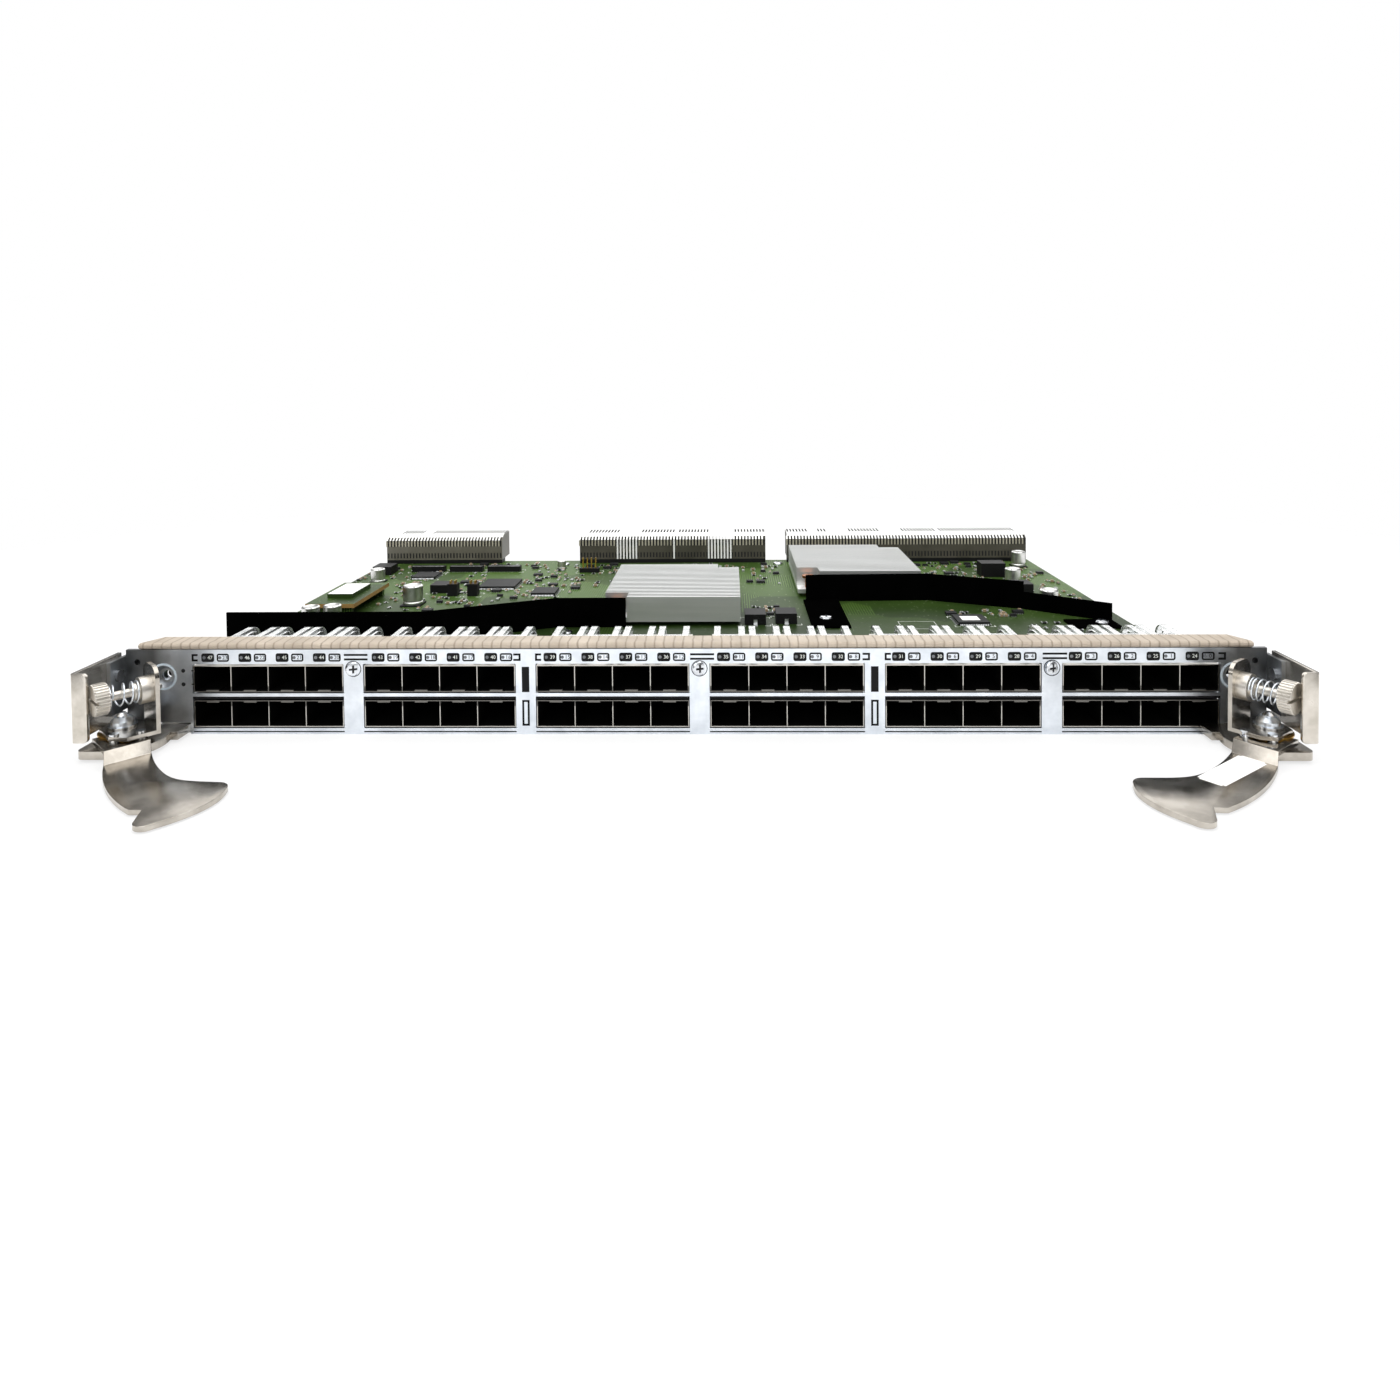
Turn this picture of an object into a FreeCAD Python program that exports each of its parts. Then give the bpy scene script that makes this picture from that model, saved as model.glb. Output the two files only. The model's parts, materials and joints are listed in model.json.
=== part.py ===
"""Switch line card: a 48-port blade with its panel at the front, ejector levers at both ends,
a circuit board on a carrier tray, and backplane connectors along the rear edge.

Frame: X runs along the front panel from its middle, Y runs from the panel's front face to the
rear, Z is up from the surface that the card lies on. All lengths are in millimetres.
"""
import math
import os

import FreeCAD
import Part
import Sketcher
from FreeCAD import Vector

SIZES = {
    # front panel
    "panel_length": 427.2, "panel_height": 32.3, "panel_thickness": 1.6,
    "flange_depth": 12.0, "flange_inset": 5.5, "flange_taper": 5.0,
    "left_notch_width": 24.4, "right_notch_width": 15.4, "corner_notch_height": 4.4,
    "end_tab_reach": 9.0, "end_tab_thickness": 1.4, "end_tab_bottom": 10.0, "end_tab_top": 30.0,
    "window_side_gap": 0.3, "window_top_gap": 0.7, "window_bottom_gap": 0.4,
    "grip_hole_radius": 1.1, "grip_hole_inset": 4.3, "grip_hole_height": 27.6,
    "dimple_radius": 4.2, "dimple_floor_radius": 2.8, "dimple_depth": 2.0, "dimple_wall": 0.8,
    # fabric gasket on the panel's top flange
    "gasket_height": 2.4, "gasket_depth": 9.2, "gasket_inset": 4.8, "gasket_round": 1.1,
    # board and tray
    "board_side_gap": 9.0, "board_front": 6.0, "board_rear": 250.0,
    "board_bottom": 12.8, "board_thickness": 3.2,
    "tray_thickness": 1.2, "tray_edge_inset": 1.0, "tray_rear_inset": 6.0, "tray_lip": 5.0,
    "standoff_radius": 2.75, "screw_radius": 1.5, "screw_head_radius": 3.0, "screw_head_height": 1.5,
    # ganged port cages
    "ports_per_cage": 4, "port_pitch": 14.25, "blocks_end_room": 34.8, "cage_shift": 4.24,
    "cage_wall": 0.3, "cage_height": 10.1, "cage_front": 0.2, "cage_depth": 41.6, "cage_floor": 28.0,
    "cage_back": 0.5, "lip_width": 4.8, "lip_height": 0.5, "lip_depth": 4.0,
    "host_width": 12.6, "host_height": 7.4, "host_depth": 10.0,
    # light pipes over the upper cages
    "pipe_top": 30.3, "pipe_thickness": 1.8, "pipe_width": 2.6, "pipe_spread": 4.95,
    "pipe_front": 1.7, "pipe_rear": 44.6, "pipe_round": 6.0, "pipe_tie_front": 24.6,
    "pipe_tie_depth": 2.0, "pipe_foot_gap": 0.2,
    # panel screws
    "panel_screw_height": 24.9, "panel_screw_radius": 1.5, "panel_screw_head_radius": 2.7,
    "panel_screw_head_height": 0.8, "panel_screw_length": 7.0, "block_width": 6.6, "block_depth": 9.0,
    "block_height": 12.4, "hole_clearance": 0.1,
    # heat sinks and the chips under them
    "sink_width": 65.2, "sink_depth": 78.0, "sink_base": 2.2, "sink_height": 12.0,
    "fin_pitch": 3.0, "fin_thickness": 0.9, "sink_notch_width": 11.4, "sink_notch_depth": 9.4,
    "chip_side": 42.0, "chip_height": 2.0, "pin_radius": 1.5, "pin_head_radius": 3.2,
    "pin_head_height": 1.2, "pin_height": 9.6,
    "left_sink_x": -11.8, "left_sink_y": 92.0, "right_sink_x": 84.8, "right_sink_y": 149.0,
    # air baffles
    "baffle_thickness": 1.0, "baffle_height": 13.9, "baffle_low_height": 8.6,
    "baffle_foot": 14.0, "left_baffle_step": 25.0,
    # backplane connectors
    "wafer_pitch": 2.0, "wafer_slot": 0.9, "connector_front": 242.0, "connector_depth": 20.0,
    "connector_base": 2.4, "connector_shoulder": 12.2, "connector_height": 15.4,
    "connector_slope": 5.0, "slot_depth": 2.6, "low_slot_bottom": 1.0, "low_slot_top": 4.3,
    "high_slot_bottom": 8.4, "left_connector_start": -203.2, "left_connector_wafers": 37,
    "middle_connector_start": -79.4, "middle_connector_wafers": 59,
    "right_connector_start": 52.2, "right_connector_wafers": 75,
    # latch at each end: base plate, guard, lever, pivot
    "latch_base_thickness": 2.9, "latch_base_reach": 26.8, "latch_base_width": 25.8,
    "latch_base_corner": 2.5, "latch_swing": 15.3,
    "latch_screw_head_radius": 2.4, "latch_tongue_width": 11.4,
    "right_tongue_width": 5.2, "latch_tongue_depth": 22.0,
    "guard_thickness": 1.4, "guard_reach": 26.8, "guard_flange": 6.0, "guard_bottom": 7.0,
    "guard_top": 31.5, "guard_round": 1.6, "guard_rear_gap": 0.4,
    "rivet_radius": 1.3, "rivet_head_radius": 2.3, "rivet_head_height": 1.0,
    "rivet_reach": 4.6, "rivet_height": 24.0,
    "pivot_inset": 7.1, "pivot_reach": 13.5, "pivot_radius": 2.0, "pivot_top": 13.4,
    "thrust_washer_radius": 6.5, "thrust_washer_thickness": 0.4,
    "brass_washer_radius": 8.0, "brass_washer_thickness": 0.5,
    "top_washer_radius": 4.8, "top_washer_thickness": 0.6,
    "pivot_nut_radius": 3.9, "pivot_nut_height": 3.0,
    "running_clearance": 0.08,
    "left_open_angle": 42.0, "right_open_angle": 37.6,
    "lever_thickness": 1.8, "lever_lobe_radius": 7.4, "lever_bend_start": 15.6,
    "lever_bend_end": 18.2, "lever_drop": 4.0, "lever_inner_edge": 4.6, "lever_outer_edge": -9.8,
    "lever_jaw_reach": 11.6, "lever_jaw_width": 5.6,
    "handle_length": 77.0, "handle_waist": 16.2,
    # thumbscrew bracket, ferrule, spring and thumbscrew on each lever
    "ear_thickness": 1.4, "ear_near": 7.0, "ear_top": 31.0, "ear_width": 14.0, "ear_round": 4.5,
    "left_screw_offset": 7.2, "right_screw_offset": 4.8, "screw_axis_height": 22.0,
    "ferrule_radius": 4.9, "ferrule_length": 3.6, "ferrule_neck_radius": 3.1,
    "ferrule_neck_length": 1.8, "ferrule_nose_radius": 2.8, "ferrule_nose_length": 1.8,
    "thumb_shank_radius": 1.6, "thumb_shank_clearance": 0.1, "thumb_tip": 11.0,
    "thumb_tip_cone": 1.4, "knob_seat": -6.5, "knob_thickness": 4.6, "knob_radius": 5.7,
    "knurl_radius": 0.45, "knurl_count": 30, "knob_slot_width": 1.2, "knob_slot_depth": 1.0,
    "seat_washer_radius": 4.2, "seat_washer_thickness": 0.5,
    "spring_radius": 3.75, "spring_wire_radius": 0.32, "spring_turns": 4.0,
    "spring_steps": 14,
    "lock_nut_radius": 3.2, "lock_nut_length": 2.6,
}

doc = FreeCAD.newDocument("switch_line_card")
sheet = doc.addObject("Spreadsheet::Sheet", "sizes")
for number, (alias, number_value) in enumerate(SIZES.items(), start=1):
    sheet.set(f"A{number}", alias)
    sheet.set(f"B{number}", str(number_value))
    sheet.setAlias(f"B{number}", alias)
doc.recompute()


class Size:
    """A number together with the sheet formula that gives it."""

    def __init__(self, value, formula):
        self.value = value
        self.formula = formula

    def __add__(self, other):
        other = as_size(other)
        return Size(self.value + other.value, f"({self.formula} + {other.formula})")

    def __sub__(self, other):
        other = as_size(other)
        return Size(self.value - other.value, f"({self.formula} - {other.formula})")

    def __mul__(self, other):
        other = as_size(other)
        return Size(self.value * other.value, f"({self.formula} * {other.formula})")

    def __truediv__(self, other):
        other = as_size(other)
        return Size(self.value / other.value, f"({self.formula} / {other.formula})")

    def __neg__(self):
        return Size(-self.value, f"(0 - {self.formula})")

    def __radd__(self, other):
        return as_size(other) + self

    def __rsub__(self, other):
        return as_size(other) - self

    def __rmul__(self, other):
        return as_size(other) * self

    def __float__(self):
        return float(self.value)


def as_size(item):
    """Wrap a plain number, so that it can stand in a formula."""
    if isinstance(item, Size):
        return item
    return Size(item, f"({item})" if item < 0 else str(item))


class Sheet:
    """Gives each alias of the spreadsheet as a Size."""

    def __getattr__(self, alias):
        return Size(float(sheet.get(alias)), f"sizes.{alias}")


s = Sheet()
nodes = []


def bind(item, place, size):
    """Bind one property of an object to its formula."""
    item.setExpression(place, as_size(size).formula)


def place_at(item, x, y, z):
    """Bind the position of an object."""
    for axis, size in zip("xyz", (x, y, z)):
        bind(item, f".Placement.Base.{axis}", size)


def node(item, label):
    """Name a finished sub-part and put it on the export list."""
    item.Label = label
    nodes.append(item)
    return item


def box(x, y, z, length, width, height):
    """A box with its lower corner at x, y, z."""
    item = doc.addObject("Part::Box", "box")
    for name, size in (("Length", length), ("Width", width), ("Height", height)):
        bind(item, name, size)
    place_at(item, x, y, z)
    return item


def middle_box(x, y, z, length, width, height):
    """A box whose middle along X is at x."""
    return box(x - as_size(length) / 2, y, z, length, width, height)


def rod(x, y, z, radius, height, axis="Z"):
    """A cylinder that starts at x, y, z and runs along +X, +Y or +Z."""
    item = doc.addObject("Part::Cylinder", "rod")
    turns = {"X": (Vector(0, 1, 0), 90), "Y": (Vector(1, 0, 0), -90), "Z": (Vector(0, 0, 1), 0)}
    item.Placement = FreeCAD.Placement(Vector(), FreeCAD.Rotation(*turns[axis]))
    bind(item, "Radius", radius)
    bind(item, "Height", height)
    place_at(item, x, y, z)
    return item


def cone(x, y, z, radius_near, radius_far, height, axis="Z"):
    """A cone that starts at x, y, z and runs along +Y or +Z."""
    item = doc.addObject("Part::Cone", "cone")
    turns = {"Y": (Vector(1, 0, 0), -90), "Z": (Vector(0, 0, 1), 0)}
    item.Placement = FreeCAD.Placement(Vector(), FreeCAD.Rotation(*turns[axis]))
    bind(item, "Radius1", radius_near)
    bind(item, "Radius2", radius_far)
    bind(item, "Height", height)
    place_at(item, x, y, z)
    return item


def fuse(items):
    """Join solids into one."""
    if len(items) == 1:
        return items[0]
    item = doc.addObject("Part::MultiFuse", "fuse")
    item.Shapes = items
    item.Refine = True
    return item


def cut(base, tools):
    """Take tools away from a solid."""
    item = doc.addObject("Part::Cut", "cut")
    item.Base = base
    item.Tool = fuse(tools)
    item.Refine = True
    return item


def group(items):
    """Keep separate solids together in one node."""
    item = doc.addObject("Part::Compound", "group")
    item.Links = items
    return item


def shaped(shape):
    """A feature whose shape comes from Part's own functions."""
    item = doc.addObject("Part::Feature", "shaped")
    item.Shape = shape
    return item


# --- PartDesign helpers ---------------------------------------------------------------------

def origin_feature(body, role):
    """The body's own origin plane or axis with this role."""
    return next(part for part in body.Origin.OriginFeatures if part.Role == role)


def new_sketch(body, role, offset):
    """A sketch on one of the body's origin planes, moved along the world axis by offset."""
    sketch = body.newObject("Sketcher::SketchObject", "profile")
    sketch.AttachmentSupport = [(origin_feature(body, role), "")]
    sketch.MapMode = "FlatFace"
    toward = -1 if role == "XZ_Plane" else 1
    bind(sketch, ".AttachmentOffset.Base.z", toward * as_size(offset))
    return sketch


def draw_polygon(sketch, corners):
    """A closed polygon whose corners are bound to the sheet."""
    first = sketch.GeometryCount
    points = [Vector(float(as_size(x)), float(as_size(y)), 0) for x, y in corners]
    for here, there in zip(points, points[1:] + points[:1]):
        sketch.addGeometry(Part.LineSegment(here, there), False)
    for index, (x, y) in enumerate(corners):
        line = first + index
        following = first + (index + 1) % len(corners)
        sketch.addConstraint(Sketcher.Constraint("Coincident", line, 2, following, 1))
        for kind, size in (("DistanceX", as_size(x)), ("DistanceY", as_size(y))):
            made = sketch.addConstraint(Sketcher.Constraint(kind, -1, 1, line, 1, size.value))
            sketch.setExpression(f"Constraints[{made}]", size.formula)


def draw_rectangle(sketch, x, y, width, height):
    """A rectangle from its lower corner and its two sides."""
    x, y = as_size(x), as_size(y)
    draw_polygon(sketch, [(x, y), (x + width, y), (x + width, y + height), (x, y + height)])


def extrude(body, sketch, length, role, take_away=False):
    """Pad or pocket a sketch along the positive world axis."""
    feature = body.newObject(f"PartDesign::{'Pocket' if take_away else 'Pad'}", "extrude")
    feature.Profile = sketch
    bind(feature, "Length", length)
    feature.Reversed = (role == "XZ_Plane") != take_away
    return feature


def repeat(body, feature, axis, count, pitch):
    """A row of one feature along an axis of the body."""
    row = body.newObject("PartDesign::LinearPattern", "row")
    row.Originals = [feature]
    row.Direction = (origin_feature(body, axis), [""])
    bind(row, "Length", pitch * (count - 1))
    bind(row, "Occurrences", count)
    body.Tip = row
    return row


def cosine(angle):
    """Cosine of an angle in degrees."""
    return Size(math.cos(math.radians(angle.value)), f"cos({angle.formula})")


def sine(angle):
    """Sine of an angle in degrees."""
    return Size(math.sin(math.radians(angle.value)), f"sin({angle.formula})")


def whole(size):
    """The whole number at or below a size."""
    return Size(math.floor(size.value), f"floor({size.formula})")


# --- Shape helpers --------------------------------------------------------------------------

def strip_outline(points, thickness):
    """Both sides of a bent strip: a line of points and its mitred copy to the left."""
    directions = [(b - a).normalize() for a, b in zip(points, points[1:])]
    directions = [directions[0]] + directions + [directions[-1]]
    other_side = []
    for point, before, after in zip(points, directions, directions[1:]):
        mitre = Vector(-before.y - after.y, before.x + after.x, 0).normalize()
        reach = thickness / (mitre.x * -before.y + mitre.y * before.x)
        other_side.append(point + mitre * reach)
    return points + other_side[::-1]


def prism(corners, height, lift=0.0):
    """A flat outline in XY, raised along Z."""
    wire = Part.makePolygon(corners + corners[:1])
    solid = Part.Face(wire).extrude(Vector(0, 0, height))
    solid.translate(Vector(0, 0, lift))
    return solid


def filleted(solid, radius, wanted):
    """Round the edges that pass a test."""
    return solid.makeFillet(radius, [edge for edge in solid.Edges if wanted(edge)])


def runs_along(edge, axis):
    """Whether an edge is straight and parallel to an axis."""
    if not isinstance(edge.Curve, Part.Line):
        return False
    return abs(abs(edge.Curve.Direction.dot(axis)) - 1) < 1e-6


def for_hand(shape, hand):
    """The shape itself for the left end, and its mirror image for the right end."""
    if hand > 0:
        return shape
    return shape.mirror(Vector(0, 0, 0), Vector(1, 0, 0))


# --- Shared places --------------------------------------------------------------------------

board_top = s.board_bottom + s.board_thickness
panel_end = s.panel_length / 2
half_board = panel_end - s.board_side_gap
cage_width = s.port_pitch * s.ports_per_cage + s.cage_wall
CAGES = 6
cage_pitch = (s.panel_length - s.blocks_end_room) / CAGES
SIDES = (("left", 1, s.left_open_angle), ("right", -1, s.right_open_angle))
NOTCH = {1: s.left_notch_width, -1: s.right_notch_width}
OFFSET = {1: s.left_screw_offset, -1: s.right_screw_offset}
TONGUE = {1: s.latch_tongue_width, -1: s.right_tongue_width}
SCREW_GAPS = (0, 2, 4)
lever_bottom = (s.tray_thickness + s.latch_base_thickness + s.thrust_washer_thickness
                + s.running_clearance)
lever_top = lever_bottom + s.lever_thickness
bracket_bottom = lever_top + s.brass_washer_thickness
bracket_top = bracket_bottom + s.ear_thickness
pivot_x = panel_end - s.pivot_inset
pivot_y = -s.pivot_reach
ferrule_rear = s.ear_near - s.ferrule_length


def cage_x(index):
    """Middle of one cage along the panel."""
    return s.cage_shift + cage_pitch * (index - (CAGES - 1) / 2)


def port_x(index, port):
    """Middle of one port along the panel."""
    return cage_x(index) + s.port_pitch * (port - (s.ports_per_cage - 1) / 2)


def screw_x(index):
    """Middle of the web to the right of a cage."""
    return cage_x(index) + cage_pitch / 2


def from_left(inset):
    """A place along X, measured from the board's left edge."""
    return inset - half_board


def from_right(inset):
    """A place along X, measured from the board's right edge."""
    return half_board - inset


# Places for the board's screws, as sizes along X and Y. The baffle feet use the last three.
BOARD_SCREWS = [(-88.0, 236.0), (-60.0, 80.0), (46.0, 236.0), (0.0, 200.0),
                (from_left(9.6), 57.0), (62.0, 101.0), (from_right(14.6), 92.0)]
BAFFLE_SCREWS = BOARD_SCREWS[-3:]
sinks = [("left", s.left_sink_x, s.left_sink_y), ("right", s.right_sink_x, s.right_sink_y)]


def pin_places(x, y):
    """The two push pins of a heat sink, in its front-left and rear-right notches."""
    aside = s.sink_width / 2 - s.sink_notch_width / 2
    inward = s.sink_notch_depth / 2
    return [(x - aside, y + inward), (x + aside, y + s.sink_depth - inward)]


# --- Front panel ----------------------------------------------------------------------------

def make_front_panel():
    body = doc.addObject("PartDesign::Body", "panel")
    left_foot, right_foot = -panel_end + NOTCH[1], panel_end - NOTCH[-1]
    step = s.corner_notch_height
    face = new_sketch(body, "XZ_Plane", 0)
    draw_polygon(face, [(left_foot, 0), (right_foot, 0), (right_foot, step), (panel_end, step),
                        (panel_end, s.panel_height), (-panel_end, s.panel_height),
                        (-panel_end, step), (left_foot, step)])
    extrude(body, face, s.panel_thickness, "XZ_Plane")

    flange = new_sketch(body, "XY_Plane", s.panel_height - s.panel_thickness)
    near = panel_end - s.flange_inset
    far = near - s.flange_taper
    draw_polygon(flange, [(-near, s.panel_thickness), (near, s.panel_thickness),
                          (far, s.flange_depth), (-far, s.flange_depth)])
    extrude(body, flange, s.panel_thickness, "XY_Plane")

    tabs = new_sketch(body, "XY_Plane", s.end_tab_bottom)
    for x in (-panel_end - s.end_tab_thickness, panel_end):
        draw_rectangle(tabs, x, -s.end_tab_reach, s.end_tab_thickness,
                       s.end_tab_reach + s.panel_thickness)
    extrude(body, tabs, s.end_tab_top - s.end_tab_bottom, "XY_Plane")

    windows = new_sketch(body, "XZ_Plane", 0)
    width = cage_width + 2 * s.window_side_gap
    height = s.cage_height + s.window_top_gap + s.window_bottom_gap
    lower_bottom = s.board_bottom - s.cage_height - s.window_bottom_gap
    for index in range(CAGES):
        x = cage_x(index) - width / 2
        draw_rectangle(windows, x, board_top - s.window_bottom_gap, width, height)
        draw_rectangle(windows, x, lower_bottom, width, height)
    body.Tip = extrude(body, windows, s.panel_thickness, "XZ_Plane", take_away=True)

    dimples = []
    tools = []
    for _, hand, _ in SIDES:
        x = -hand * (pivot_x - OFFSET[hand])
        z = s.screw_axis_height
        skin = s.panel_thickness / 2
        dimples.append(cone(x, skin, z, s.dimple_radius + s.dimple_wall,
                            s.dimple_floor_radius + s.dimple_wall,
                            s.dimple_depth + s.dimple_wall - skin, "Y"))
        tools.append(cone(x, 0, z, s.dimple_radius, s.dimple_floor_radius, s.dimple_depth, "Y"))
        tools.append(rod(x, 0, z, s.thumb_shank_radius + 3 * s.thumb_shank_clearance,
                         s.flange_depth, "Y"))
        tools.append(rod(-hand * (panel_end - s.grip_hole_inset), -s.panel_thickness,
                         s.grip_hole_height, s.grip_hole_radius, 3 * s.panel_thickness, "Y"))
        tab_start = -panel_end - s.end_tab_thickness if hand > 0 else panel_end
        tools.append(rod(tab_start, -s.rivet_reach, s.rivet_height, s.rivet_radius,
                         s.end_tab_thickness, "X"))
    for index in SCREW_GAPS:
        tools.append(rod(screw_x(index), 0, s.panel_screw_height,
                         s.panel_screw_radius + s.hole_clearance, s.panel_thickness, "Y"))
    node(cut(fuse([body] + dimples), tools), "front_panel")


def make_gasket():
    near = float(panel_end - s.gasket_inset)
    far = near - float(s.flange_taper)
    back = float(s.gasket_depth)
    solid = prism([Vector(-near, 0, 0), Vector(near, 0, 0), Vector(far, back, 0),
                   Vector(-far, back, 0)], float(s.gasket_height), float(s.panel_height))

    def front_edge(edge):
        return runs_along(edge, Vector(1, 0, 0)) and edge.CenterOfMass.y < 1e-6

    node(shaped(filleted(solid, float(s.gasket_round), front_edge)), "emi_gasket")


def make_panel_screws():
    screws = []
    blocks = []
    for index in SCREW_GAPS:
        x = screw_x(index)
        z = s.panel_screw_height
        head = rod(x, -s.panel_screw_head_height, z, s.panel_screw_head_radius,
                   s.panel_screw_head_height, "Y")
        shank = rod(x, 0, z, s.panel_screw_radius, s.panel_screw_length, "Y")
        arm = s.panel_screw_head_radius
        bar = s.panel_screw_head_radius / 5
        front = -s.panel_screw_head_height
        depth = s.panel_screw_head_height * 0.8
        cross = [middle_box(x, front, z - arm / 2, bar, depth, arm),
                 middle_box(x, front, z - bar / 2, arm, depth, bar)]
        screws.append(cut(fuse([head, shank]), cross))
        block = middle_box(x, s.panel_thickness, board_top, s.block_width, s.block_depth,
                           s.block_height)
        hole = rod(x, s.panel_thickness, z, s.panel_screw_radius, s.panel_screw_length, "Y")
        blocks.append(cut(block, [hole]))
    node(group(screws), "panel_screws")
    node(group(blocks), "panel_screw_blocks")


# --- Board, tray and what holds them --------------------------------------------------------

def make_board():
    plate = box(-half_board, s.board_front, s.board_bottom, 2 * half_board,
                s.board_rear - s.board_front, s.board_thickness)
    holes = [rod(x, y, s.board_bottom, s.screw_radius, s.board_thickness)
             for x, y in BOARD_SCREWS]
    for _, x, y in sinks:
        for pin_x, pin_y in pin_places(x, y):
            holes.append(rod(pin_x, pin_y, s.board_bottom, s.pin_radius, s.board_thickness))
    node(cut(plate, holes), "circuit_board")


def make_tray():
    half = half_board - s.tray_edge_inset
    length = s.board_rear - s.tray_rear_inset - s.panel_thickness
    thick = s.tray_thickness
    front = s.panel_thickness
    walls_front = front + s.latch_tongue_depth
    wall_length = length - s.latch_tongue_depth
    pieces = [box(-half, front, 0, 2 * half, length, thick)]
    for x, lip_x in ((-half, -half), (half - thick, half - s.tray_lip)):
        pieces.append(box(x, walls_front, 0, thick, wall_length, s.board_bottom))
        pieces.append(box(lip_x, walls_front, s.board_bottom - thick, s.tray_lip, wall_length,
                          thick))
    holes = [rod(x, y, 0, s.screw_radius, thick) for x, y in latch_screw_places()]
    node(cut(fuse(pieces), holes), "carrier_tray")


def make_standoffs():
    posts = []
    screws = []
    for x, y in BOARD_SCREWS:
        post = rod(x, y, s.tray_thickness, s.standoff_radius, s.board_bottom - s.tray_thickness)
        depth = (s.board_bottom - s.tray_thickness) * 0.8
        posts.append(cut(post, [rod(x, y, s.board_bottom - depth, s.screw_radius, depth)]))
        foot = s.baffle_thickness if (x, y) in BAFFLE_SCREWS else 0
        seat = board_top + foot
        head = rod(x, y, seat, s.screw_head_radius, s.screw_head_height)
        shank = rod(x, y, s.board_bottom - depth, s.screw_radius, seat - s.board_bottom + depth)
        screws.append(fuse([head, shank]))
    node(group(posts), "board_standoffs")
    node(group(screws), "board_screws")


# --- Port cages, host connectors and light pipes --------------------------------------------

def make_cage(row, index):
    upper = row == "upper"
    bottom = board_top if upper else s.board_bottom - s.cage_height
    wall = s.cage_wall
    inside = s.port_pitch - wall
    clear = s.cage_height - 2 * wall
    shell = middle_box(cage_x(index), s.cage_front, bottom, cage_width, s.cage_depth,
                       s.cage_height)
    hollows = []
    lips = []
    floor_z = bottom if upper else bottom + s.cage_height - wall
    lip_z = bottom + wall if upper else bottom + s.cage_height - wall - s.lip_height
    for port in range(int(float(s.ports_per_cage))):
        x = port_x(index, port)
        hollows.append(middle_box(x, s.cage_front, bottom + wall, inside,
                                  s.cage_depth - s.cage_back, clear))
        hollows.append(middle_box(x, s.cage_front + s.cage_floor, floor_z, inside,
                                  s.cage_depth - s.cage_back - s.cage_floor, wall))
        lips.append(middle_box(x, s.cage_front, lip_z, s.lip_width, s.lip_depth, s.lip_height))
    return fuse([cut(shell, hollows)] + lips)


def make_host_connectors(row):
    bottom = board_top if row == "upper" else s.board_bottom - s.host_height
    rear = s.cage_front + s.cage_depth - s.cage_back - s.host_depth - s.cage_wall
    hosts = [middle_box(port_x(index, port), rear, bottom, s.host_width, s.host_depth,
                        s.host_height)
             for index in range(CAGES) for port in range(int(float(s.ports_per_cage)))]
    node(group(hosts), f"host_connectors_{row}")


def pipe_profile():
    """Side outline of a light pipe: along the cage top, round the corner and down to the board."""
    top, rear = float(s.pipe_top), float(s.pipe_rear)
    thick, bend = float(s.pipe_thickness), float(s.pipe_round)
    low = float(board_top + s.pipe_foot_gap)
    front = float(s.pipe_front)
    middle = Vector(0, rear - bend, top - bend)

    def on_bend(radius, angle):
        turn = math.radians(angle)
        return middle + Vector(0, radius * math.cos(turn), radius * math.sin(turn))

    outer = Part.Arc(on_bend(bend, 90), on_bend(bend, 45), on_bend(bend, 0)).toShape()
    small = bend - thick
    inner = Part.Arc(on_bend(small, 0), on_bend(small, 45), on_bend(small, 90)).toShape()
    corners = [Vector(0, front, top), Vector(0, front, top - thick),
               Vector(0, rear, low), Vector(0, rear - thick, low)]
    lines = [(corners[0], on_bend(bend, 90)), (on_bend(bend, 0), corners[2]),
             (corners[2], corners[3]), (corners[3], on_bend(small, 0)),
             (on_bend(small, 90), corners[1]), (corners[1], corners[0])]
    edges = [Part.LineSegment(a, b).toShape() for a, b in lines] + [outer, inner]
    return Part.Face(Part.Wire(Part.__sortEdges__(edges)))


def make_light_pipes():
    width = float(s.pipe_width)
    spread = float(s.pipe_spread)
    strip = pipe_profile().extrude(Vector(width, 0, 0))
    pairs = []
    ports = range(int(float(s.ports_per_cage)))
    for x in [float(port_x(index, port)) for index in range(CAGES) for port in ports]:
        strips = [strip.translated(Vector(x + side * spread - width / 2, 0, 0))
                  for side in (-1, 1)]
        tie = Part.makeBox(2 * spread, float(s.pipe_tie_depth), float(s.pipe_thickness),
                           Vector(x - spread, float(s.pipe_tie_front),
                                  float(s.pipe_top - s.pipe_thickness)))
        pairs.append(strips[0].fuse([strips[1], tie]).removeSplitter())
    node(shaped(Part.makeCompound(pairs)), "light_pipes")


# --- Heat sinks, chips and baffles ----------------------------------------------------------

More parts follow.
